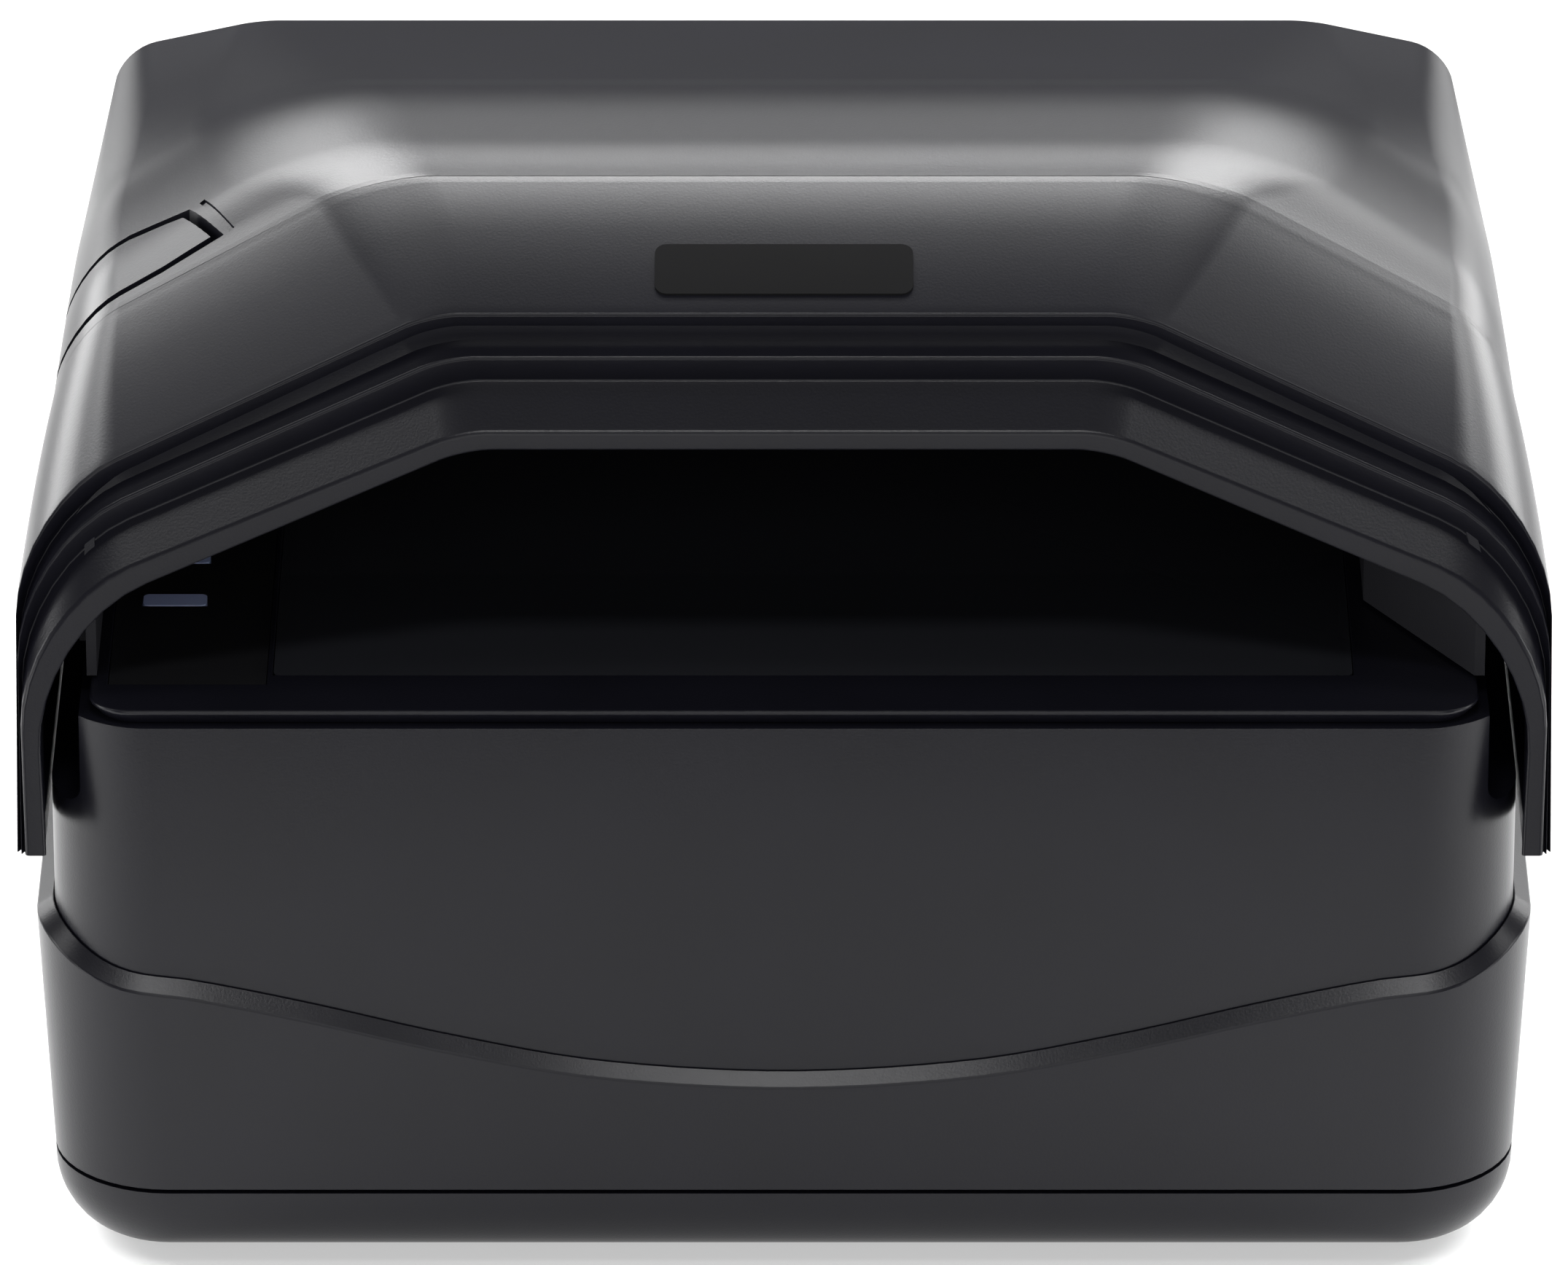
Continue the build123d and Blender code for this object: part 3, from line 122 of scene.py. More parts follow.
# The casing: half sizes at its foot, where it is widest and of its upper shell, its corners' radii,
# and its heights.
BASE_HALF_WIDTH, BASE_HALF_DEPTH = 87.6, 73.0
CASE_HALF_WIDTH, CASE_HALF_DEPTH = 89.3, 73.5
UPPER_HALF_WIDTH, UPPER_HALF_DEPTH = 87.0, 71.4
CASE_CORNER, UPPER_CORNER = 14.0, 12.5
PARTING, WIDE_HEIGHT, SHOULDER, DECK, PANEL_TOP = 11.0, 46.0, 60.2, 70.0, 72.2
# The upper shell above its shoulder: half width, rear, the radii of the recesses' inner corners and
# of the hollow's corners, and the deck's thickness. A ring just under the shoulder bounds the cuts.
NECK, NECK_REAR, NECK_CORNER, HOLLOW_CORNER, DECK_WALL = 83.2, 67.6, 2.5, 8.0, 1.6
UNDER_SHOULDER = 60.0
# The smile-shaped edge: its heights at the middle and the side, and its rise from the one to the
# other as shares of the half width and of the height.
SMILE_LOW, SMILE_SIDE = 26.9, 45.5
SMILE = ((0.0, 0.0), (0.25, 0.08), (0.45, 0.27), (0.63, 0.49), (0.78, 0.65), (0.90, 0.745),
         (1.0, 1.0), (1.12, 1.3))
# How far the ledge slopes down, how far the shells overlap, their walls, the play between them,
# the dark line under the lower shell, and how finely the edge is drawn.
LEDGE_DROP, LAP, WALL, PLAY, LINE = 1.6, 5.0, 2.2, 0.1, 0.4
EDGE_CUTS = 40
# The base tray: its foot, its curve-in and that curve's rise, its tongue and its floor.
TRAY_FOOT, TRAY_ROUND, TRAY_RISE, TRAY_STEPS = 1.0, 8.0, 9.4, 10
TONGUE, TRAY_INSIDE, TRAY_FLOOR = 3.0, 8.0, 2.5
# Openings: for the rear connectors, the optical chamber, the light pipes, the glass and the
# status panel.
CONNECTOR_OPENING = ((-28.0, 65.0, 12.6), (28.0, 80.0, 21.4))
CHAMBER_OPENING = ((-63.9, -64.5, 60.0), (70.8, 45.5, 80.0))
PIPES_OPENING = ((-78.8, -46.0, 60.0), (-66.8, -22.6, 80.0))
GLASS_OPENING = ((-60.5, -61.1, 60.0), (67.4, 35.6, 80.0))
PANEL_OPENING = ((-79.9, -63.5, 72.3), (-61.1, 4.1, 80.0))
# The scan bezel, the plug under it, its corners, its rounded top edge, and how far its foot is
# drawn in.
BEZEL = ((-82.3, -71.0, 72.2), (82.3, 66.7, 74.2))
BEZEL_PLUG = ((-80.9, -69.1, 70.0), (80.9, 65.3, 72.4))
BEZEL_CORNER, BEZEL_ROUND, BEZEL_LEAN = 5.0, 0.8, 1.3

# Shading: faces that meet at less than this angle look smooth, and edges sharper than the second
# angle are rounded, in degrees.
SMOOTH_ANGLE, EDGE_ANGLE = 35.0, 40.0
NORMAL_WEIGHT = 80

# The stage in millimetres: the floor, and two dark cards that only reflections see. The one behind
# the object darkens the hood's rear, and the one before it darkens the steps and the front.
FLOOR_HALF = 4000
CARDS = {
    "black_card": ((-150, 299, 0), (150, 301, 112)),
    "dark_card": ((-700, -1400, 0), (700, -230, 3)),
}
# Lamps in metres and watts: place, width, height and power. All of these face one point, and the
# side lamps stand on both sides.
LAMP_AIM = (0, 0, 0.08)
LAMPS = {
    "rear_panel": ((0, 1.05, 1.26), 1.4, 0.5, 9),
    "rear_strip": ((0, 1.19, 1.09), 1.5, 0.14, 15),
    "rear_low": ((0, 1.50, 0.54), 1.2, 0.12, 1.2),
    "front_top": ((0, -0.75, 1.55), 0.5, 0.2, 5),
    "front_fill": ((0, -1.35, 0.75), 0.9, 0.5, 2.5),
    "front_low": ((0, -1.90, 0.22), 1.2, 0.5, 2.5),
}
SIDE_LAMPS = {
    "side": ((1.40, -0.15, 0.45), 0.5, 0.5, 4),
    "rear": ((0.98, 1.08, 0.28), 0.5, 0.4, 5),
    "hip": ((0.52, 1.21, 0.80), 0.5, 0.45, 5),
    "shoulder": ((0.97, 1.06, 0.84), 0.4, 0.35, 3.5),
    "high": ((0.85, -0.05, 1.45), 0.4, 0.4, 2.5),
    "front": ((1.20, -0.90, 0.20), 0.5, 0.3, 3),
}
# A lamp on each side that lights only the floor beside the object, which the flanks mirror.
POOL_PLACE, POOL_AIM, POOL_SIZE, POOL_POWER = (0.30, 0.02, 0.20), (0.26, 0, 0), (0.2, 0.3), 2.4
# The even light of the room, and how bright the paper looks by itself, where 1 is white.
ROOM_LIGHT, PAPER_GLOW = 0.06, 0.48
# The camera: the width of its film in millimetres, and how near and how far it sees in metres.
FILM_WIDTH, VIEW_NEAR, VIEW_FAR = 36, 0.05, 20

# Finishes by the record's material slots: the material's name, its one or two colours, the width of
# their patches, the width and the depth of its grain in millimetres, its roughness, and the
# shader's other sockets. A colour is a hex value or the name of a setting, as is the shell's grain.
# Real grains of a few hundredths of a millimetre are drawn at 0.12 mm or more, so that they show.
FINISHES = {
    # Moulded ABS from a spark-eroded mould: satin, with an even grain that softens its highlights.
    # The grain is drawn about twice as wide as a usual mould's, so that it shows.
    "shell_plastic": ("moulded_abs", ("shell", "shell_light"), 18, "grain", 0.012, 0.3,
                      {"IOR": 1.53, "Specular IOR Level": 0.32}),
    # Matt moulded ABS that keeps stray light off the glass: dark grey, with a soft broad sheen.
    "liner_plastic": ("matt_black_abs", ("liner", "#313135"), 12, 0.25, 0.02, 0.6,
                      {"IOR": 1.53, "Specular IOR Level": 0.15}),
    # Bare anodised label plate: flat and even.
    "name_plate": ("satin_plate", ("plate", "#19191a"), 6, 0.12, 0.004, 0.7,
                   {"IOR": 1.5, "Specular IOR Level": 0.05}),
    # Tinted float glass: dark and clear, with a hard reflection that is very slightly wavy.
    "scan_glass": ("tinted_float_glass", ("glass",), None, 30, 0.0005, 0.03,
                   {"IOR": 1.52, "Transmission Weight": 0.25}),
    # Back-printed polycarbonate film: nearly black under a gloss.
    "status_panel": ("printed_polycarbonate", ("#1e1e20", "#222224"), 10, 1.5, 0.0008, 0.16,
                     {"IOR": 1.585}),
    # Milky polycarbonate. Its emission is a painted glow that lightens the pipes where they sit in
    # the hood's shade.
    "light_pipe": ("milky_polycarbonate", ("light_pipe", "#9aa0bd"), 4, 0.3, 0.003, 0.3,
                   {"IOR": 1.585, "Subsurface Weight": 0.2, "Emission Color": "pipe_glow",
                    "Emission Strength": 1.0}),
    # Moulded silicone rubber: dull, with a powdery bloom.
    "soft_rubber": ("silicone_rubber", ("#19191a", "#232324"), 5, 0.3, 0.02, 0.75, {"IOR": 1.43}),
    # Zinc-plated steel: bright, with a fine crystalline speckle.
    "steel": ("zinc_plated_steel", ("#b9bcc0", "#a3a6ab"), 0.8, 0.15, 0.004, 0.3,
              {"Metallic": 1.0}),
    # Nickel-plated sheet: warm grey metal with rolling marks.
    "socket_shell": ("nickel_plated_sheet", ("#c2bdb4", "#aca79f"), 1.2, 0.2, 0.004, 0.26,
                     {"Metallic": 1.0}),
    # Glass-filled nylon: black and slightly dry.
    "black_plastic": ("glass_filled_nylon", ("#121213", "#1b1b1d"), 3, 0.25, 0.02, 0.55,
                      {"IOR": 1.53}),
    # Epoxy board under green solder mask: glossy over faint copper.
    "circuit_board": ("solder_masked_board", ("#0e3d24", "#185934"), 1.5, 0.6, 0.02, 0.3,
                      {"IOR": 1.55}),
    # Transfer-moulded epoxy: charcoal, faintly pitted.
    "chip": ("moulded_epoxy", ("#151516", "#202022"), 0.8, 0.12, 0.01, 0.5, {"IOR": 1.55}),
    # Mill-finish aluminium: pale, with a soft rolled sheen.
    "bare_aluminium": ("mill_finish_aluminium", ("#c9cbcd", "#b4b6b9"), 3, 0.3, 0.006, 0.35,
                       {"Metallic": 1.0}),
    # Black anodised aluminium: dark, with a metal's tight highlight.
    "black_aluminium": ("black_anodised_aluminium", ("#17171a", "#222226"), 1.5, 0.2, 0.004, 0.32,
                        {"Metallic": 0.85}),
    # First-surface mirror: bare aluminium film on glass.
    "mirror_face": ("first_surface_mirror", ("#dfe2e4", "#d7dadd"), 20, 40, 0.0002, 0.02,
                    {"Metallic": 1.0}),
    # Coated lens glass: clear, with a violet bloom.
    "lens_glass": ("coated_lens_glass", ("#d8d2ee", "#cdc6ea"), 6, 20, 0.0002, 0.02,
                   {"IOR": 1.6, "Transmission Weight": 0.9}),
    # Phosphor-filled lamp body: pale yellow and dull.
    "emitter": ("phosphor_resin", ("#d9cf8a", "#c9bd6e"), 0.8, 0.2, 0.01, 0.4, {"IOR": 1.5}),
    # Opal acrylic sheet: white and even.
    "diffuser": ("opal_acrylic", ("#dcdddc", "#d2d4d4"), 8, 0.4, 0.002, 0.3,
                 {"IOR": 1.49, "Subsurface Weight": 0.3}),
    # Polyester flat cable: white film over tinned conductors.
    "flat_cable": ("polyester_flat_cable", ("#d3d6da", "#bfc4ca"), 1.0, 0.5, 0.02, 0.35,
                   {"IOR": 1.6}),
}


def linear(code):
    """An sRGB hex colour as linear red, green and blue."""
    shares = [int(code[k:k + 2], 16) / 255 for k in (1, 3, 5)]
    return tuple(s / 12.92 if s <= 0.04045 else ((s + 0.055) / 1.055) ** 2.4 for s in shares)


def colour(code, name, description):
    """A colour property with its default given as a hex value."""
    return FloatVectorProperty(name=name, description=description, subtype="COLOR", size=3, min=0,
                               max=1, default=linear(code))


def length(default, name, description):
    """A length property with its default given in millimetres."""
    return FloatProperty(name=name, description=description, unit="LENGTH", min=0,
                         default=default * TO_METRES)


class ReaderHoodSizes(bpy.types.PropertyGroup):
    wall: length(2.2, "Wall", "Thickness of the hood's roof and shoulders")
    leg_wall: length(2.5, "Leg wall", "Thickness of the hood's legs at the rim")
    lip_round: length(0.45, "Lip rounding", "Rounding of the rim and of the two step lips")
    crease_round: length(1.1, "Crease rounding", "Rounding of the crease where the roof levels out")
    arc_segments: IntProperty(name="Arc segments", description="Segments in each rounded shoulder",
                              min=2, default=8)
    rows: IntProperty(name="Rows", description="Outlines drawn between two of the listed ones",
                      min=1, default=7)


class ReaderFinishes(bpy.types.PropertyGroup):
    shell: colour("#101016", "Shell", "Moulded ABS of the hood, casing and tab")
    shell_light: colour("#17171f", "Shell, lighter", "Where the moulded ABS is rubbed or dusty")
    liner: colour("#2a2a2e", "Liner", "Matt dark liner inside the hood")
    plate: colour("#161617", "Plate", "Bare name plate")
    glass: colour("#303136", "Glass", "Tint of the scan glass")
    light_pipe: colour("#aab0cc", "Light pipe", "Milky status light pipes")
    # The pipes' glow is painted light. It lightens them in the hood's shade and is no lamp under
    # them.
    pipe_glow: colour("#191b28", "Light pipe glow", "Faint light that the milky pipes let through")
    grain: length(0.3, "Grain", "Width of the moulded texture's grains")


class ReaderStage(bpy.types.PropertyGroup):
    camera_height: FloatProperty(name="Camera height", description="Camera's angle above the desk",
                                 subtype="ANGLE", default=math.radians(26))
    camera_distance: length(1700, "Camera distance", "From the camera to the middle of its view")
    view_y: length(-18.5, "View middle, depth", "The point that the camera looks at")
    view_z: length(59.034, "View middle, height", "The point that the camera looks at")
    focal: FloatProperty(name="Focal length", default=321.34,
                         description="Lens in millimetres on a 36 mm wide film")


# Drawing


def draw_block(bm, low, high, rounding=0.0, segments=2, axis=None):
    """A block from two corners, with its edges rounded: all of them, or those along one axis."""
    low, high = Vector(low), Vector(high)
    corners = bmesh.ops.create_cube(bm, size=1)["verts"]
    bmesh.ops.scale(bm, verts=corners, vec=high - low)
    bmesh.ops.translate(bm, verts=corners, vec=(high + low) / 2)
    if rounding:
        # A dict, because the order of a set changes from run to run.
        edges = list(dict.fromkeys(e for v in corners for e in v.link_edges))
        if axis is not None:
            edges = [e for e in edges if abs((e.verts[0].co - e.verts[1].co)[axis]) > NEAR]
        round_off(bm, edges, rounding, segments)
    return [v for v in corners if v.is_valid]


def draw_prism(bm, plan, low, high):
    """A flat outline seen from above, drawn out between two heights."""
    bm.faces.new([bm.verts.new((x, y, low)) for x, y in plan])
    walls = bmesh.ops.extrude_face_region(bm, geom=bm.faces[:])["geom"]
    top = [v for v in walls if isinstance(v, bmesh.types.BMVert)]
    bmesh.ops.translate(bm, verts=top, vec=(0, 0, high - low))
    bmesh.ops.recalc_face_normals(bm, faces=bm.faces)


def draw_rod(bm, radius, start, end, segments=24):
    """A closed rod between two points."""
    start, end = Vector(start), Vector(end)
    run = end - start
    turn = run.to_track_quat("Z", "Y").to_matrix().to_4x4()
    place = Matrix.Translation((start + end) / 2) @ turn
    bmesh.ops.create_cone(bm, cap_ends=True, segments=segments, radius1=radius, radius2=radius,
                          depth=run.length, matrix=place)


def draw_ring(bm, half_w, half_d, radius, height, segments, cuts=0):
    """A rounded rectangle as a closed wire at one height, or at a height that follows x."""
    known = set(bm.edges)
    places = ((-half_w, -half_d), (half_w, -half_d), (half_w, half_d), (-half_w, half_d))
    corners = [bm.verts.new((x, y, 0)) for x, y in places]
    for pair in zip(corners, corners[1:] + corners[:1]):
        bm.edges.new(pair)
    bmesh.ops.bevel(bm, geom=corners, offset=radius, offset_type="OFFSET", segments=segments,
                    profile=0.5, affect="VERTICES", material=-1)
    if cuts:
        runs = [e for e in bm.edges if e not in known
                and all(abs(abs(v.co.y) - half_d) < NEAR for v in e.verts)]
        bmesh.ops.subdivide_edges(bm, edges=runs, cuts=cuts)
    ring = [e for e in bm.edges if e not in known]
    for v in {v for e in ring for v in e.verts}:
        v.co.z = height(v.co.x) if callable(height) else height
    return ring


def draw_wall(half_w, half_d, radius, steps, **ring):
    """Rings of one rounded rectangle, each moved in and to its height, joined and closed."""
    bm = bmesh.new()
    rings = [draw_ring(bm, half_w - inset, half_d - inset, radius - inset, height, **ring)
             for inset, height in steps]
    for one, other in zip(rings, rings[1:]):
        bmesh.ops.bridge_loops(bm, edges=one + other)
    for end in (rings[0], rings[-1]):
        bmesh.ops.holes_fill(bm, edges=end)
    bmesh.ops.recalc_face_normals(bm, faces=bm.faces)
    return bm


def round_off(bm, edges, offset, segments=3):
    """Round some edges."""
    bmesh.ops.bevel(bm, geom=edges, offset=offset, offset_type="OFFSET", segments=segments,
                    profile=0.5, affect="EDGES", clamp_overlap=False, material=-1)


def mesh_object(bm, name):
    """A bmesh in millimetres as an object in metres."""
    bmesh.ops.transform(bm, matrix=Matrix.Scale(TO_METRES, 4), verts=bm.verts)
    mesh = bpy.data.meshes.new(name)
    bm.to_mesh(mesh)
    bm.free()
    made = bpy.data.objects.new(name, mesh)
    bpy.context.scene.collection.objects.link(made)
    return made


def keep_result(made):
    """Replace an object's mesh by what its modifiers make of it."""
    bpy.context.view_layer.update()
    graph = bpy.context.evaluated_depsgraph_get()
    result = bpy.data.meshes.new_from_object(made.evaluated_get(graph))
    made.modifiers.clear()
    old = made.data
    made.data = result
    bpy.data.meshes.remove(old)


def combine(made, tool, operation):
    """Cut a solid by a second one, or join or intersect them, and remove the second."""
    if isinstance(tool, bmesh.types.BMesh):
        tool = mesh_object(tool, "tool")
    step = made.modifiers.new("Combine", "BOOLEAN")
    step.operation = operation
    step.solver = "EXACT"
    step.object = tool
    keep_result(made)
    mesh = tool.data
    bpy.data.objects.remove(tool)
    bpy.data.meshes.remove(mesh)


def combine_block(made, operation, low, high, **rounding):
    """Cut a solid by a block, or join or intersect them."""
    block = bmesh.new()
    draw_block(block, low, high, **rounding)
    combine(made, block, operation)


def combine_prism(made, operation, plan, low, high):
    """Cut a solid by a flat outline drawn out between two heights, or join or intersect them."""
    prism = bmesh.new()
    draw_prism(prism, plan, low, high)
    combine(made, prism, operation)


def place_piece(made, body, slot, *nodes, edge=0.0):
    """Shade a finished piece, round its edges, give it its finish, and let it ride on its body."""
    made.data.materials.clear()
    made.data.materials.append(finish_for(slot))
    made.data.shade_smooth()
    made.data.set_sharp_from_angle(angle=math.radians(SMOOTH_ANGLE))
    if edge:
        rounding = made.modifiers.new("Edges", "BEVEL")
        rounding.width = edge * TO_METRES
        rounding.segments = 2
        rounding.limit_method = "ANGLE"
        rounding.angle_limit = math.radians(EDGE_ANGLE)
    normals = made.modifiers.new("Normals", "WEIGHTED_NORMAL")
    normals.keep_sharp = True
    normals.weight = NORMAL_WEIGHT
    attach(made, body)
    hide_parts(*nodes)


# Hood


def outline(values):
    """An outline's values by name, with how far back its plane leans for each millimetre up."""
    named = dict(zip(OUTLINE_VALUES, values))
    named["lean"] = (named["top_y"] - named["foot_y"]) / (named["top_z"] - LEG_FOOT)
    return named


def thinned(outer, leg, roof, forward=0.0):
    """The same outline moved inwards by the wall, on the same leaning plane or one before it."""
    inner = dict(outer)
    inner["foot"] -= leg
    inner["side"] -= roof
    inner["side_z"] -= roof
    inner["top_z"] -= roof
    # The flat ends in a blunt corner, which moves in by only a part of the wall.
    inner["flat"] -= roof / 4
    inner["foot_y"] -= forward
    return inner


def slope_at(stops, values, k):
    """How steeply a smooth curve through listed values runs at one of them."""
    last = len(stops) - 1
    if 0 < k < last:
        return (values[k + 1] - values[k - 1]) / (stops[k + 1] - stops[k - 1])
    near, far = (0, 1) if k == 0 else (last, last - 1)
    chord = (values[far] - values[near]) / (stops[far] - stops[near])
    return 2 * chord - slope_at(stops, values, far)


def smooth_value(stops, values, where):
    """A value on a smooth curve through listed ones."""
    k = max(n for n in range(len(stops) - 1) if n == 0 or stops[n] <= where)
    gap = stops[k + 1] - stops[k]
    t = (where - stops[k]) / gap
    start, end = slope_at(stops, values, k), slope_at(stops, values, k + 1)
    return (values[k] * (1 + 2 * t) * (1 - t) ** 2 + values[k + 1] * t * t * (3 - 2 * t)
            + gap * (start * t * (1 - t) ** 2 - end * t * t * (1 - t)))


def run_between(listed, rows):
    """Listed outlines and smooth ones between them, led by where their tops stand, all by name."""
    stops = [values[1] for values in listed]
    made = []
    for k in range(len(stops) - 1):
        for n in range(rows + 1):
            where = stops[k] + (stops[k + 1] - stops[k]) * n / (rows + 1)
            made.append([smooth_value(stops, values, where) for values in zip(*listed)])
    return [outline(values) for values in made + [listed[-1]]]


def draw_arch(bm, shape, segments):
    """One open arch across the hood; its four shoulders are rounded. Returns its edges."""
    known = set(bm.edges)
    half = [(min(shape["foot"], HOOD_HALF_WIDTH), LEG_FOOT),
            (min(shape["side"], HOOD_HALF_WIDTH), shape["side_z"]), (shape["flat"], shape["top_z"])]
    places = [(-x, z) for x, z in half] + [(x, z) for x, z in reversed(half)]
    corners = [bm.verts.new((x, shape["foot_y"] + shape["lean"] * (z - LEG_FOOT), z))
               for x, z in places]
    for pair in zip(corners, corners[1:]):
        bm.edges.new(pair)
    rounded = []
    for k, mirrored, radius in ((1, 4, shape["side_round"]), (2, 3, shape["top_round"])):
        turn = (corners[k].co - corners[k - 1].co).angle(corners[k + 1].co - corners[k].co)
        rounded.append(([corners[k], corners[mirrored]], radius * math.tan(turn / 2)))
    for shoulders, offset in rounded:
        bmesh.ops.bevel(bm, geom=shoulders, offset=offset, offset_type="OFFSET", segments=segments,
                        profile=0.5, affect="VERTICES", material=-1)
    return [e for e in bm.edges if e not in known]


def close_hood(bm, rear, wall):
    """Fill the rear wall, outside and inside, and then the feet."""
    feet = [v for v in bm.verts if v.is_boundary and abs(v.co.z - LEG_FOOT) < NEAR]
    planes = (rear["foot_y"], rear["foot_y"] - wall)
    for foot_y in planes:
        bm.edges.new([v for v in feet if abs(v.co.y - foot_y) < NEAR])
    for foot_y in planes:
        loop = [e for e in bm.edges if (e.is_boundary or e.is_wire) and all(
            abs(v.co.y - foot_y - rear["lean"] * (v.co.z - LEG_FOOT)) < NEAR for v in e.verts)]
        bmesh.ops.holes_fill(bm, edges=loop)
    bmesh.ops.holes_fill(bm, edges=[e for e in bm.edges if e.is_boundary])
    bmesh.ops.recalc_face_normals(bm, faces=bm.faces)


def draw_hood(sizes, wall=None):
    """The hood as one closed skin: inner roof, rim, two steps, slope, crease, plateau and rear."""
    wall, leg = wall or sizes.wall / TO_METRES, sizes.leg_wall / TO_METRES
    rim, band_end, step_one, tread_end = map(outline, (RIM, BAND_END, STEP_ONE, TREAD_END))
    front = run_between([STEP_TWO, FRONT_MID, CREASE], sizes.rows)
    rear = run_between([CREASE, PLATEAU_EDGE, PLATEAU, FALL, BACK, REAR], sizes.rows)[1:]
    inside = [thinned(s, leg, wall) for s in (rim, band_end, tread_end)]
    inside += [thinned(s, wall, wall) for s in front[1:] + rear[:-1]]
    inside.append(thinned(rear[-1], wall, wall, forward=wall))
    outside = [rim, band_end, step_one, tread_end] + front + rear
    bm = bmesh.new()
    arches = [draw_arch(bm, s, sizes.arc_segments) for s in inside[::-1] + outside]
    for one, other in zip(arches, arches[1:]):
        bmesh.ops.bridge_loops(bm, edges=one + other)
    # Rounded arches, counted from the rim's outer one: the rim's inner and outer edge, the band's
    # end, step one, the tread's end, step two and the crease.
    rim_at, lip = len(inside), sizes.lip_round
    rounds = {-1: lip, 0: lip, 1: lip / 2, 2: lip, 3: lip / 2, 4: lip,
              3 + len(front): sizes.crease_round}
    for k, offset in rounds.items():
        round_off(bm, arches[rim_at + k], offset / TO_METRES)
    close_hood(bm, rear[-1], wall)
    return bm


def draw_hood_inside():
    """The guide ribs, the legs' lips, the ears for the tab's pin, and the lugs for the liner."""
    bm = bmesh.new()
    for side in (-1, 1):
        for y in RIB_PLACES:
            rib = draw_block(bm, *RIB)
            bmesh.ops.translate(bm, verts=rib, vec=(side * RIB_SIDE, y, 0))
            outer = [v for v in rib if side * v.co.x > RIB_SIDE and v.co.z > RIB[0][2] + NEAR]
            bmesh.ops.translate(bm, verts=outer, vec=(-side * RIB_LEAN, 0, 0))
        (inner_x, *low), (outer_x, *high) = LEG_LIP
        low_x, high_x = sorted((side * inner_x, side * outer_x))
        draw_block(bm, (low_x, *low), (high_x, *high))
    for y in EAR_PLACES:
        ear = draw_block(bm, *EAR)
        bmesh.ops.translate(bm, verts=ear, vec=(0, y, 0))
        outer = [v for v in ear if v.co.x < EAR[1][0] - NEAR and v.co.z > EAR[0][2] + NEAR]
        bmesh.ops.translate(bm, verts=outer, vec=(0, 0, -EAR_DROP))
    for x, y, top in LUGS:
        draw_rod(bm, LUG_RADIUS, (x, y, LUG_FOOT), (x, y, top))
    return bm


class READER_OT_hood(bpy.types.Operator):
    """Build the hood: one moulded skin with a stepped rim, a crease and a plateau"""
    bl_idname = "reader.hood"
    bl_label = "Hood"

    def execute(self, context):
        sizes = context.scene.reader_hood
        made = mesh_object(draw_hood(sizes), "hood_skin")
        combine_block(made, "DIFFERENCE", *REAR_FOOT)
        combine_prism(made, "DIFFERENCE", SLOT_PLAN, TAB_LOW - SLOT_DEEPER, PAST_HOOD)
        combine_block(made, "DIFFERENCE", *ARM_GROOVE)
        # The score line is what stands over a lowered copy of the hood.
        line = bmesh.new()
        draw_prism(line, SCORE_PLAN, SCORE_FROM, PAST_HOOD)
        line = mesh_object(line, "line")
        lowered = draw_hood(sizes)
        bmesh.ops.translate(lowered, verts=lowered.verts, vec=(0, 0, -SCORE_DEPTH))
        combine(line, lowered, "DIFFERENCE")
        combine(made, line, "DIFFERENCE")
        place_piece(made, "hood", "shell_plastic", "hood_shell")
        inside = mesh_object(draw_hood_inside(), "hood_ribs")
        place_piece(inside, "hood", "shell_plastic", edge=0.3)
        return {"FINISHED"}


class READER_OT_release_tab(bpy.types.Operator):
    """Build the release tab: a plate flush with the hood's shoulder, and its arm"""
    bl_idname = "reader.release_tab"
    bl_label = "Release tab"

    def execute(self, context):
        made = mesh_object(draw_hood(context.scene.reader_hood), "tab_plate")
        combine_prism(made, "INTERSECT", TAB_PLAN, TAB_LOW, PAST_HOOD)
        place_piece(made, "tab", "shell_plastic", "release_tab", edge=0.15)

        arm = bmesh.new()
        draw_block(arm, *ARM, rounding=0.3)
        draw_block(arm, *HOOK, rounding=0.2)
        x, z = TAB_PIN
        draw_rod(arm, HUB_RADIUS, (x, HUB_FRONT, z), (x, HUB_REAR, z))
        draw_block(arm, (x - POST_HALF_WIDTH, HUB_FRONT, z + POST_START),
                   (x + POST_HALF_WIDTH, HUB_REAR, POST_TOP))
        place_piece(mesh_object(arm, "tab_arm"), "tab", "shell_plastic")
        return {"FINISHED"}


class READER_OT_name_plate(bpy.types.Operator):
    """Build the bare name plate that follows the hood's slope"""
    bl_idname = "reader.name_plate"
    bl_label = "Name plate"

    def execute(self, context):
        low, high = (Vector(v) / TO_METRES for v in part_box("name_plate"))
        skin = draw_hood(context.scene.reader_hood, wall=PLATE_WALL)
        bmesh.ops.translate(skin, verts=skin.verts, vec=(0, 0, PLATE_PROUD))
        made = mesh_object(skin, "name_plate_skin")
        combine_block(made, "INTERSECT", (low.x, low.y, PLATE_FROM), (high.x, high.y, PAST_HOOD),
                      rounding=PLATE_CORNER, segments=4, axis=2)
        place_piece(made, "hood", "name_plate", "name_plate")
        return {"FINISHED"}


# Casing


def smile(shift=0.0):
    """The height of the smile-shaped edge, moved by a shift, as a function of x."""
    stops = [share * CASE_HALF_WIDTH for share, rise in SMILE]
    heights = [SMILE_LOW + (SMILE_SIDE - SMILE_LOW) * rise + shift for share, rise in SMILE]
    return lambda x: smooth_value(stops, heights, abs(x))


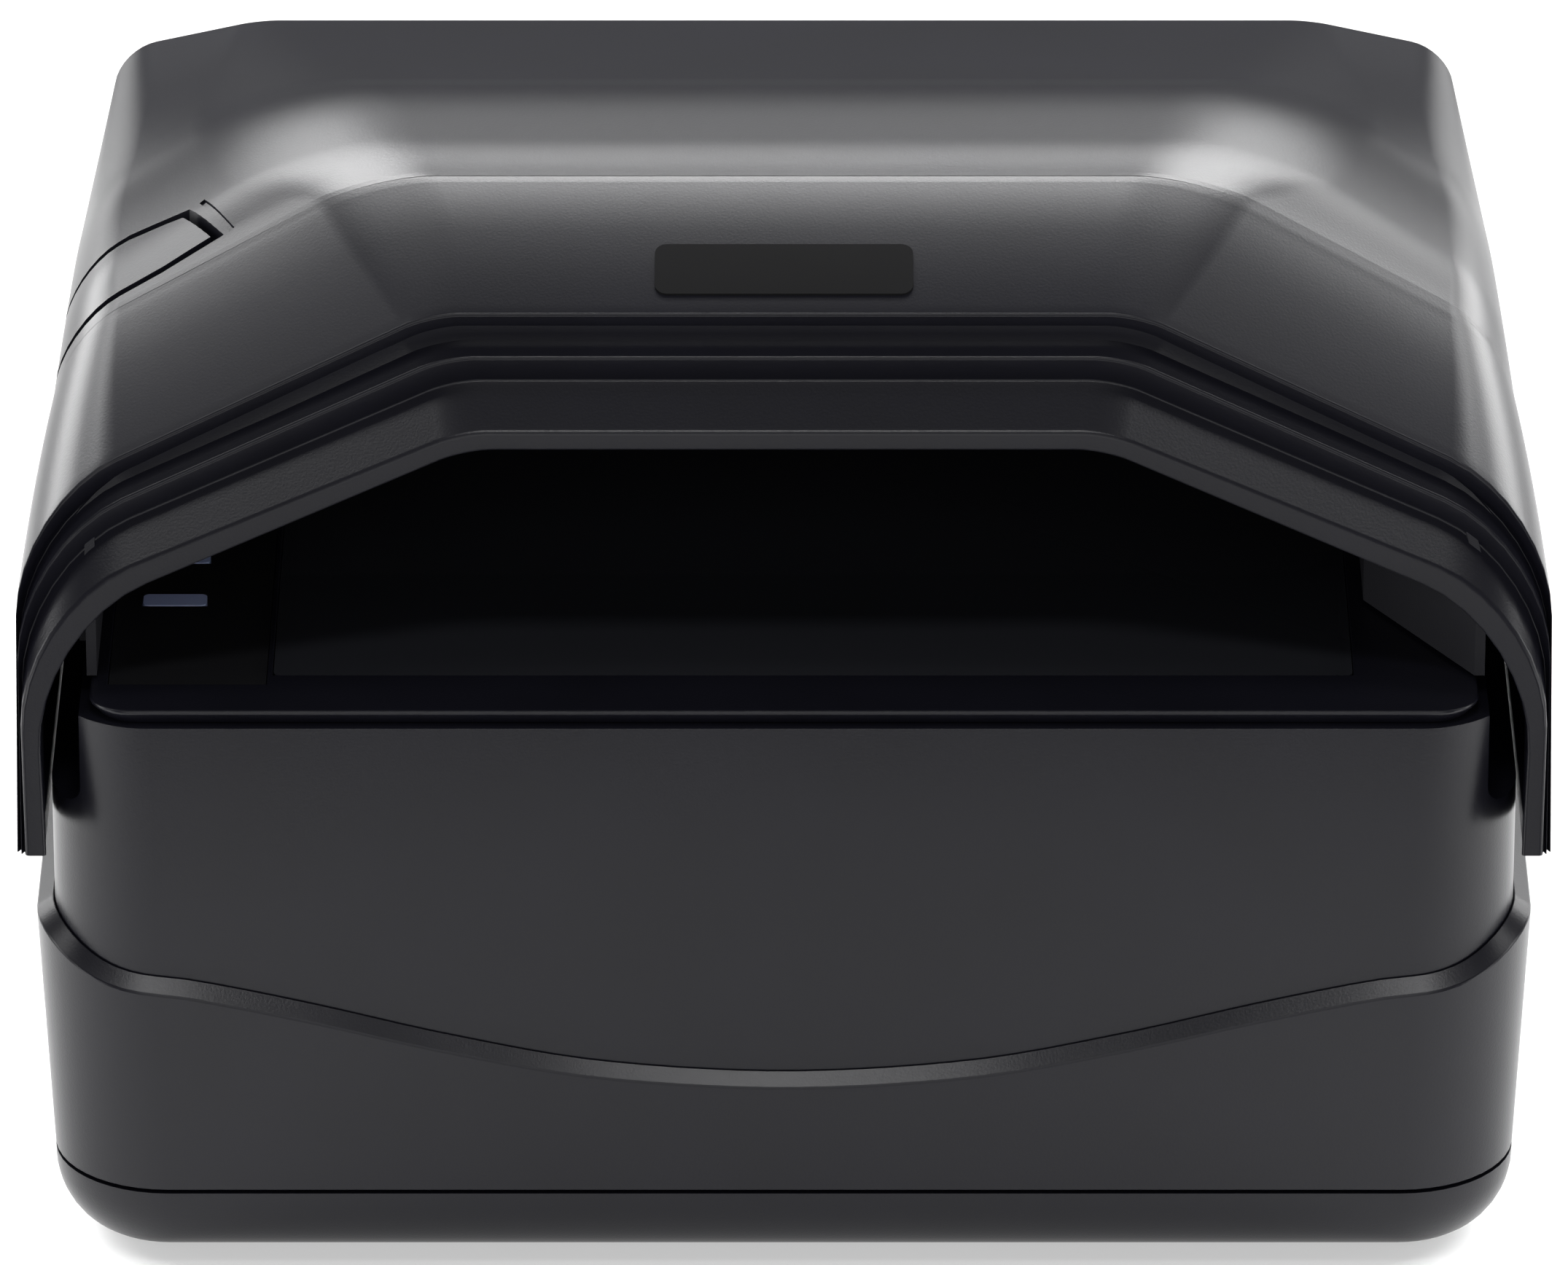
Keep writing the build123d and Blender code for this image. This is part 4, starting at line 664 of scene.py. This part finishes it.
def draw_lower_shell():
    """A flared wall with a sloping ledge on its edge, and a rabbet that holds the upper shell."""
    bm = bmesh.new()
    outer = (BASE_HALF_WIDTH, BASE_HALF_DEPTH, CASE_CORNER)
    rabbet = (UPPER_HALF_WIDTH + PLAY, UPPER_HALF_DEPTH + PLAY, UPPER_CORNER)
    inner = [size - WALL for size in outer]
    foot = PARTING + LINE
    rings = [draw_ring(bm, *size, height, segments=12, cuts=EDGE_CUTS) for size, height in (
        (outer, foot), (outer, smile(-LEDGE_DROP)), (rabbet, smile()), (rabbet, smile(-LAP)),
        (inner, smile(-LAP)), (inner, foot))]
    for v in {v for e in rings[1] for v in e.verts}:
        share = (v.co.z - PARTING) / (WIDE_HEIGHT - PARTING)
        v.co.x *= 1 + share * (CASE_HALF_WIDTH / BASE_HALF_WIDTH - 1)
        v.co.y *= 1 + share * (CASE_HALF_DEPTH / BASE_HALF_DEPTH - 1)
    for one, other in zip(rings, rings[1:] + rings[:1]):
        bmesh.ops.bridge_loops(bm, edges=one + other)
    bmesh.ops.recalc_face_normals(bm, faces=bm.faces)
    return bm


def draw_tray():
    """The base tray: a wall that curves in under the casing, a floor, and a tongue above it."""
    turns = [math.radians(90 * k / TRAY_STEPS) for k in range(TRAY_STEPS + 1)]
    steps = [(TRAY_ROUND * (1 - math.sin(t)), TRAY_FOOT + TRAY_RISE * (1 - math.cos(t)))
             for t in turns]
    steps += [(0, PARTING), (WALL, PARTING), (WALL, PARTING + TONGUE), (2 * WALL, PARTING + TONGUE),
              (2 * WALL, TRAY_INSIDE), (TRAY_ROUND, TRAY_FOOT + TRAY_FLOOR)]
    return draw_wall(BASE_HALF_WIDTH, BASE_HALF_DEPTH, CASE_CORNER, steps, segments=12)


def draw_upper_shell():
    """The upper shell's wall as one block, hollow from below; its recesses are cut afterwards."""
    edge = smile(PLAY - LAP)
    steps = [(WALL, SHOULDER - WALL), (WALL, edge), (0, edge), (0, UNDER_SHOULDER), (0, PANEL_TOP)]
    return draw_wall(UPPER_HALF_WIDTH, UPPER_HALF_DEPTH, UPPER_CORNER, steps, segments=14,
                     cuts=EDGE_CUTS)


def draw_side_recesses():
    """What the upper shell's two side recesses take away, with their rounded inner corners."""
    bm = bmesh.new()
    for side in (-1, 1):
        low_x, high_x = sorted((side * NECK, side * PAST_SIDES))
        draw_block(bm, (low_x, -PAST_CASING, SHOULDER), (high_x, PAST_CASING, PAST_CASING))
        corner = [e for e in bm.edges if all(
            abs(v.co.x - side * NECK) < NEAR and v.co.z < SHOULDER + NEAR for v in e.verts)]
        round_off(bm, corner, NECK_CORNER, 6)
    return bm


class READER_OT_casing(bpy.types.Operator):
    """Build the casing: the lower shell, the upper shell and the base tray"""
    bl_idname = "reader.casing"
    bl_label = "Casing"

    def execute(self, context):
        lower = mesh_object(draw_lower_shell(), "lower_shell_skin")
        combine_block(lower, "DIFFERENCE", *CONNECTOR_OPENING)
        place_piece(lower, "casing", "shell_plastic", "lower_shell", edge=0.2)

        upper = mesh_object(draw_upper_shell(), "upper_shell_skin")
        combine(upper, draw_side_recesses(), "DIFFERENCE")
        combine_block(upper, "DIFFERENCE", (-PAST_SIDES, NECK_REAR, SHOULDER),
                      (PAST_SIDES, PAST_CASING, PAST_CASING))
        # The hollow under the deck, and the shallow well over it that the bezel's plug fills.
        for bottom, top in ((SHOULDER - 1.5 * WALL, DECK - DECK_WALL), (DECK, PAST_CASING)):
            combine_block(upper, "DIFFERENCE", (WALL - NECK, WALL - UPPER_HALF_DEPTH, bottom),
                          (NECK - WALL, NECK_REAR - WALL, top), rounding=HOLLOW_CORNER, segments=4,
                          axis=2)
        for opening in (CHAMBER_OPENING, PIPES_OPENING):
            combine_block(upper, "DIFFERENCE", *opening)
        place_piece(upper, "casing", "shell_plastic", "upper_shell", edge=0.3)

        tray = mesh_object(draw_tray(), "base_tray_skin")
        place_piece(tray, "casing", "shell_plastic", "base_tray")
        return {"FINISHED"}


# Scan window


class READER_OT_scan_window(bpy.types.Operator):
    """Build the scan bezel round the glass and the status panel"""
    bl_idname = "reader.scan_window"
    bl_label = "Scan window"

    def execute(self, context):
        bm = bmesh.new()
        draw_block(bm, *BEZEL, rounding=BEZEL_CORNER, segments=8, axis=2)
        low, high = (Vector(corner) for corner in BEZEL)
        half, middle = (high - low) / 2, (high + low) / 2
        foot = [v for v in bm.verts if v.co.z < low.z + NEAR]
        bmesh.ops.scale(bm, verts=foot, space=Matrix.Translation((0, -middle.y, 0)),
                        vec=(1 - BEZEL_LEAN / half.x, 1 - BEZEL_LEAN / half.y, 1))
        top = [e for e in bm.edges if all(v.co.z > high.z - NEAR for v in e.verts)]
        round_off(bm, top, BEZEL_ROUND, 4)
        bezel = mesh_object(bm, "scan_bezel_skin")
        combine_block(bezel, "UNION", *BEZEL_PLUG, rounding=HOLLOW_CORNER, segments=4, axis=2)
        for opening in (GLASS_OPENING, PANEL_OPENING, PIPES_OPENING):
            combine_block(bezel, "DIFFERENCE", *opening)
        place_piece(bezel, "casing", "shell_plastic", "scan_bezel", edge=0.12)
        return {"FINISHED"}


# Finishes


def add(tree, kind, inputs=None, **settings):
    """Add one node with its settings, and fill or link its inputs."""
    made = tree.nodes.new(kind)
    for name, value in settings.items():
        setattr(made, name, value)
    for name, value in (inputs or {}).items():
        socket = made.inputs[name]
        if isinstance(value, bpy.types.NodeSocket):
            tree.links.new(value, socket)
        else:
            socket.default_value = value
    return made


def start_material(name):
    """A new material, its node tree, and the object's coordinates for its patterns to read."""
    made = bpy.data.materials.new(name)
    made.use_nodes = True
    tree = made.node_tree
    tree.nodes.clear()
    return made, tree, add(tree, "ShaderNodeTexCoord").outputs["Object"]


def shade(code):
    """A colour as a shader takes it, from a hex value or from the setting that the code names."""
    looks = bpy.context.scene.reader_finishes
    return (*(linear(code) if code.startswith("#") else getattr(looks, code)), 1.0)


def mottled(tree, place, one, other, size):
    """Two colours mixed by a soft noise of a real size in millimetres."""
    noise = add(tree, "ShaderNodeTexNoise",
                {"Vector": place, "Scale": 1 / (size * TO_METRES), "Detail": 3.0})
    return add(tree, "ShaderNodeMix", {"Factor": noise.outputs[0], "A": one, "B": other},
               data_type="RGBA").outputs["Result"]


def grainy(tree, place, size, depth):
    """A fine bumpy surface, with the width and the depth of its grains in millimetres."""
    noise = add(tree, "ShaderNodeTexNoise",
                {"Vector": place, "Scale": 1 / (size * TO_METRES), "Detail": 2.0})
    return add(tree, "ShaderNodeBump", {"Height": noise.outputs[0], "Distance": depth * TO_METRES,
                                        "Strength": 1.0}).outputs[0]


def finish_for(slot):
    """The finish of one of the record's material slots, made when it is first asked for."""
    name, colours, patch, grain, depth, roughness, sockets = FINISHES[slot]
    if name in bpy.data.materials:
        return bpy.data.materials[name]
    if isinstance(grain, str):
        grain = getattr(bpy.context.scene.reader_finishes, grain) / TO_METRES
    made, tree, place = start_material(name)
    base = [shade(code) for code in colours]
    inputs = {
        "Base Color": mottled(tree, place, *base, patch) if patch else base[0],
        "Normal": grainy(tree, place, grain, depth),
        "Roughness": roughness,
    }
    for socket, value in sockets.items():
        inputs[socket] = shade(value) if isinstance(value, str) else value
    shader = add(tree, "ShaderNodeBsdfPrincipled", inputs)
    add(tree, "ShaderNodeOutputMaterial", {"Surface": shader.outputs[0]})
    return made


class READER_OT_finishes(bpy.types.Operator):
    """Give every CAD piece that stays in view its real material"""
    bl_idname = "reader.finishes"
    bl_label = "Finishes"

    def execute(self, context):
        for part in frame["record"]["subparts"]:
            piece = frame["nodes"][part["node"]]
            if not piece.hide_render:
                piece.data.materials.clear()
                piece.data.materials.append(finish_for(part["material_slot"]))
        return {"FINISHED"}


# Stage


def floor_finish():
    """Seamless grey paper that looks white to the camera, in reflections and through glass.

    From below it is clear, so that it doesn't hide the underside.
    """
    made, tree, place = start_material("white_paper")
    mix = mottled(tree, place, shade("#aaaaaa"), shade("#adadad"), 3)
    paper = add(tree, "ShaderNodeBsdfDiffuse", {"Color": mix})
    rays = add(tree, "ShaderNodeLightPath").outputs
    seen = add(tree, "ShaderNodeMath", {0: rays["Is Camera Ray"], 1: rays["Is Glossy Ray"]},
               operation="MAXIMUM")
    seen = add(tree, "ShaderNodeMath", {0: seen.outputs[0], 1: rays["Is Transmission Ray"]},
               operation="MAXIMUM")
    share = add(tree, "ShaderNodeMath", {0: seen.outputs[0], 1: PAPER_GLOW}, operation="MULTIPLY")
    glow = add(tree, "ShaderNodeEmission",
               {"Color": (1, 1, 1, 1), "Strength": share.outputs[0]})
    lit = add(tree, "ShaderNodeAddShader", {0: paper.outputs[0], 1: glow.outputs[0]})
    below = add(tree, "ShaderNodeNewGeometry").outputs["Backfacing"]
    clear = add(tree, "ShaderNodeBsdfTransparent")
    both = add(tree, "ShaderNodeMixShader", {0: below, 1: lit.outputs[0], 2: clear.outputs[0]})
    add(tree, "ShaderNodeOutputMaterial", {"Surface": both.outputs[0]})
    return made


def add_floor():
    """The paper that the object stands on."""
    bm = bmesh.new()
    bmesh.ops.create_grid(bm, x_segments=1, y_segments=1, size=FLOOR_HALF)
    floor = mesh_object(bm, "paper_floor")
    floor.data.materials.append(floor_finish())
    return floor


def add_camera(scene):
    """The camera at the photograph's angle."""
    sizes = scene.reader_stage
    data = bpy.data.cameras.new("view")
    data.sensor_width = FILM_WIDTH
    data.lens = sizes.focal
    data.clip_start, data.clip_end = VIEW_NEAR, VIEW_FAR
    camera = bpy.data.objects.new("view", data)
    scene.collection.objects.link(camera)
    tilt = sizes.camera_height
    aim = Vector((0, sizes.view_y, sizes.view_z))
    back = Vector((0, -math.cos(tilt), math.sin(tilt)))
    camera.location = aim + back * sizes.camera_distance
    camera.rotation_euler = (math.pi / 2 - tilt, 0, 0)
    scene.camera = camera


def add_lamp(name, place, aim, width, height, power):
    """A soft panel of light at one place that faces another."""
    data = bpy.data.lights.new(name, "AREA")
    data.shape = "RECTANGLE"
    data.size, data.size_y = width, height
    data.energy = power
    lamp = bpy.data.objects.new(name, data)
    bpy.context.scene.collection.objects.link(lamp)
    place, aim = Vector(place), Vector(aim)
    turn = (aim - place).to_track_quat("-Z", "Y")
    lamp.matrix_world = Matrix.Translation(place) @ turn.to_matrix().to_4x4()
    return lamp


def add_lamps(floor):
    """All lamps; the two pool lamps light only the floor, and reflections don't show them."""
    pool_floor = bpy.data.collections.new("pool_floor")
    pool_floor.objects.link(floor)
    for name, (place, *panel) in LAMPS.items():
        add_lamp(name, place, LAMP_AIM, *panel)
    for hand, side in (("left", -1), ("right", 1)):
        for name, ((x, y, z), *panel) in SIDE_LAMPS.items():
            add_lamp(f"{hand}_{name}", (side * x, y, z), LAMP_AIM, *panel)
        place, aim = ((side * x, y, z) for x, y, z in (POOL_PLACE, POOL_AIM))
        pool = add_lamp(f"{hand}_pool", place, aim, *POOL_SIZE, POOL_POWER)
        pool.visible_glossy = False
        pool.light_linking.receiver_collection = pool_floor


def add_card(name, low, high):
    """A dark card that only reflections see."""
    bm = bmesh.new()
    draw_block(bm, low, high, rounding=0.5)
    card = mesh_object(bm, name)
    card.data.materials.append(finish_for("liner_plastic"))
    card.visible_camera = card.visible_diffuse = False
    card.visible_shadow = card.visible_transmission = False


class READER_OT_stage(bpy.types.Operator):
    """Set the floor, the camera, the soft lights and the cards"""
    bl_idname = "reader.stage"
    bl_label = "Stage"

    def execute(self, context):
        scene = context.scene
        floor = add_floor()
        add_camera(scene)
        add_lamps(floor)
        for name, corners in CARDS.items():
            add_card(name, *corners)
        scene.world = bpy.data.worlds.new("room")
        scene.world.use_nodes = True
        room = scene.world.node_tree.nodes["Background"].inputs
        room["Color"].default_value = (1, 1, 1, 1)
        room["Strength"].default_value = ROOM_LIGHT
        scene.view_settings.view_transform = "Standard"
        return {"FINISHED"}


class READER_PT_sidebar(bpy.types.Panel):
    """The reader's pieces and sizes"""
    bl_idname = "READER_PT_sidebar"
    bl_label = "Passport reader"
    bl_space_type = "VIEW_3D"
    bl_region_type = "UI"
    bl_category = "Reader"

    def draw(self, context):
        scene = context.scene
        for group in (scene.reader_hood, scene.reader_finishes, scene.reader_stage):
            box = self.layout.box()
            for name in group.bl_rna.properties.keys():
                if name not in ("rna_type", "name"):
                    box.prop(group, name)
        for operator in OPERATORS:
            self.layout.operator(operator.bl_idname)


OPERATORS = (READER_OT_hood, READER_OT_release_tab, READER_OT_name_plate, READER_OT_casing,
             READER_OT_scan_window, READER_OT_finishes, READER_OT_stage)
CLASSES = (ReaderHoodSizes, ReaderFinishes, ReaderStage, *OPERATORS, READER_PT_sidebar)


def register():
    for made in CLASSES:
        bpy.utils.register_class(made)
    bpy.types.Scene.reader_hood = PointerProperty(type=ReaderHoodSizes)
    bpy.types.Scene.reader_finishes = PointerProperty(type=ReaderFinishes)
    bpy.types.Scene.reader_stage = PointerProperty(type=ReaderStage)


def unregister():
    del bpy.types.Scene.reader_stage
    del bpy.types.Scene.reader_finishes
    del bpy.types.Scene.reader_hood
    for made in reversed(CLASSES):
        bpy.utils.unregister_class(made)


def main():
    register()
    for operator in OPERATORS:
        kind, name = operator.bl_idname.split(".")
        getattr(getattr(bpy.ops, kind), name)()


if __name__ == "__main__":
    main()
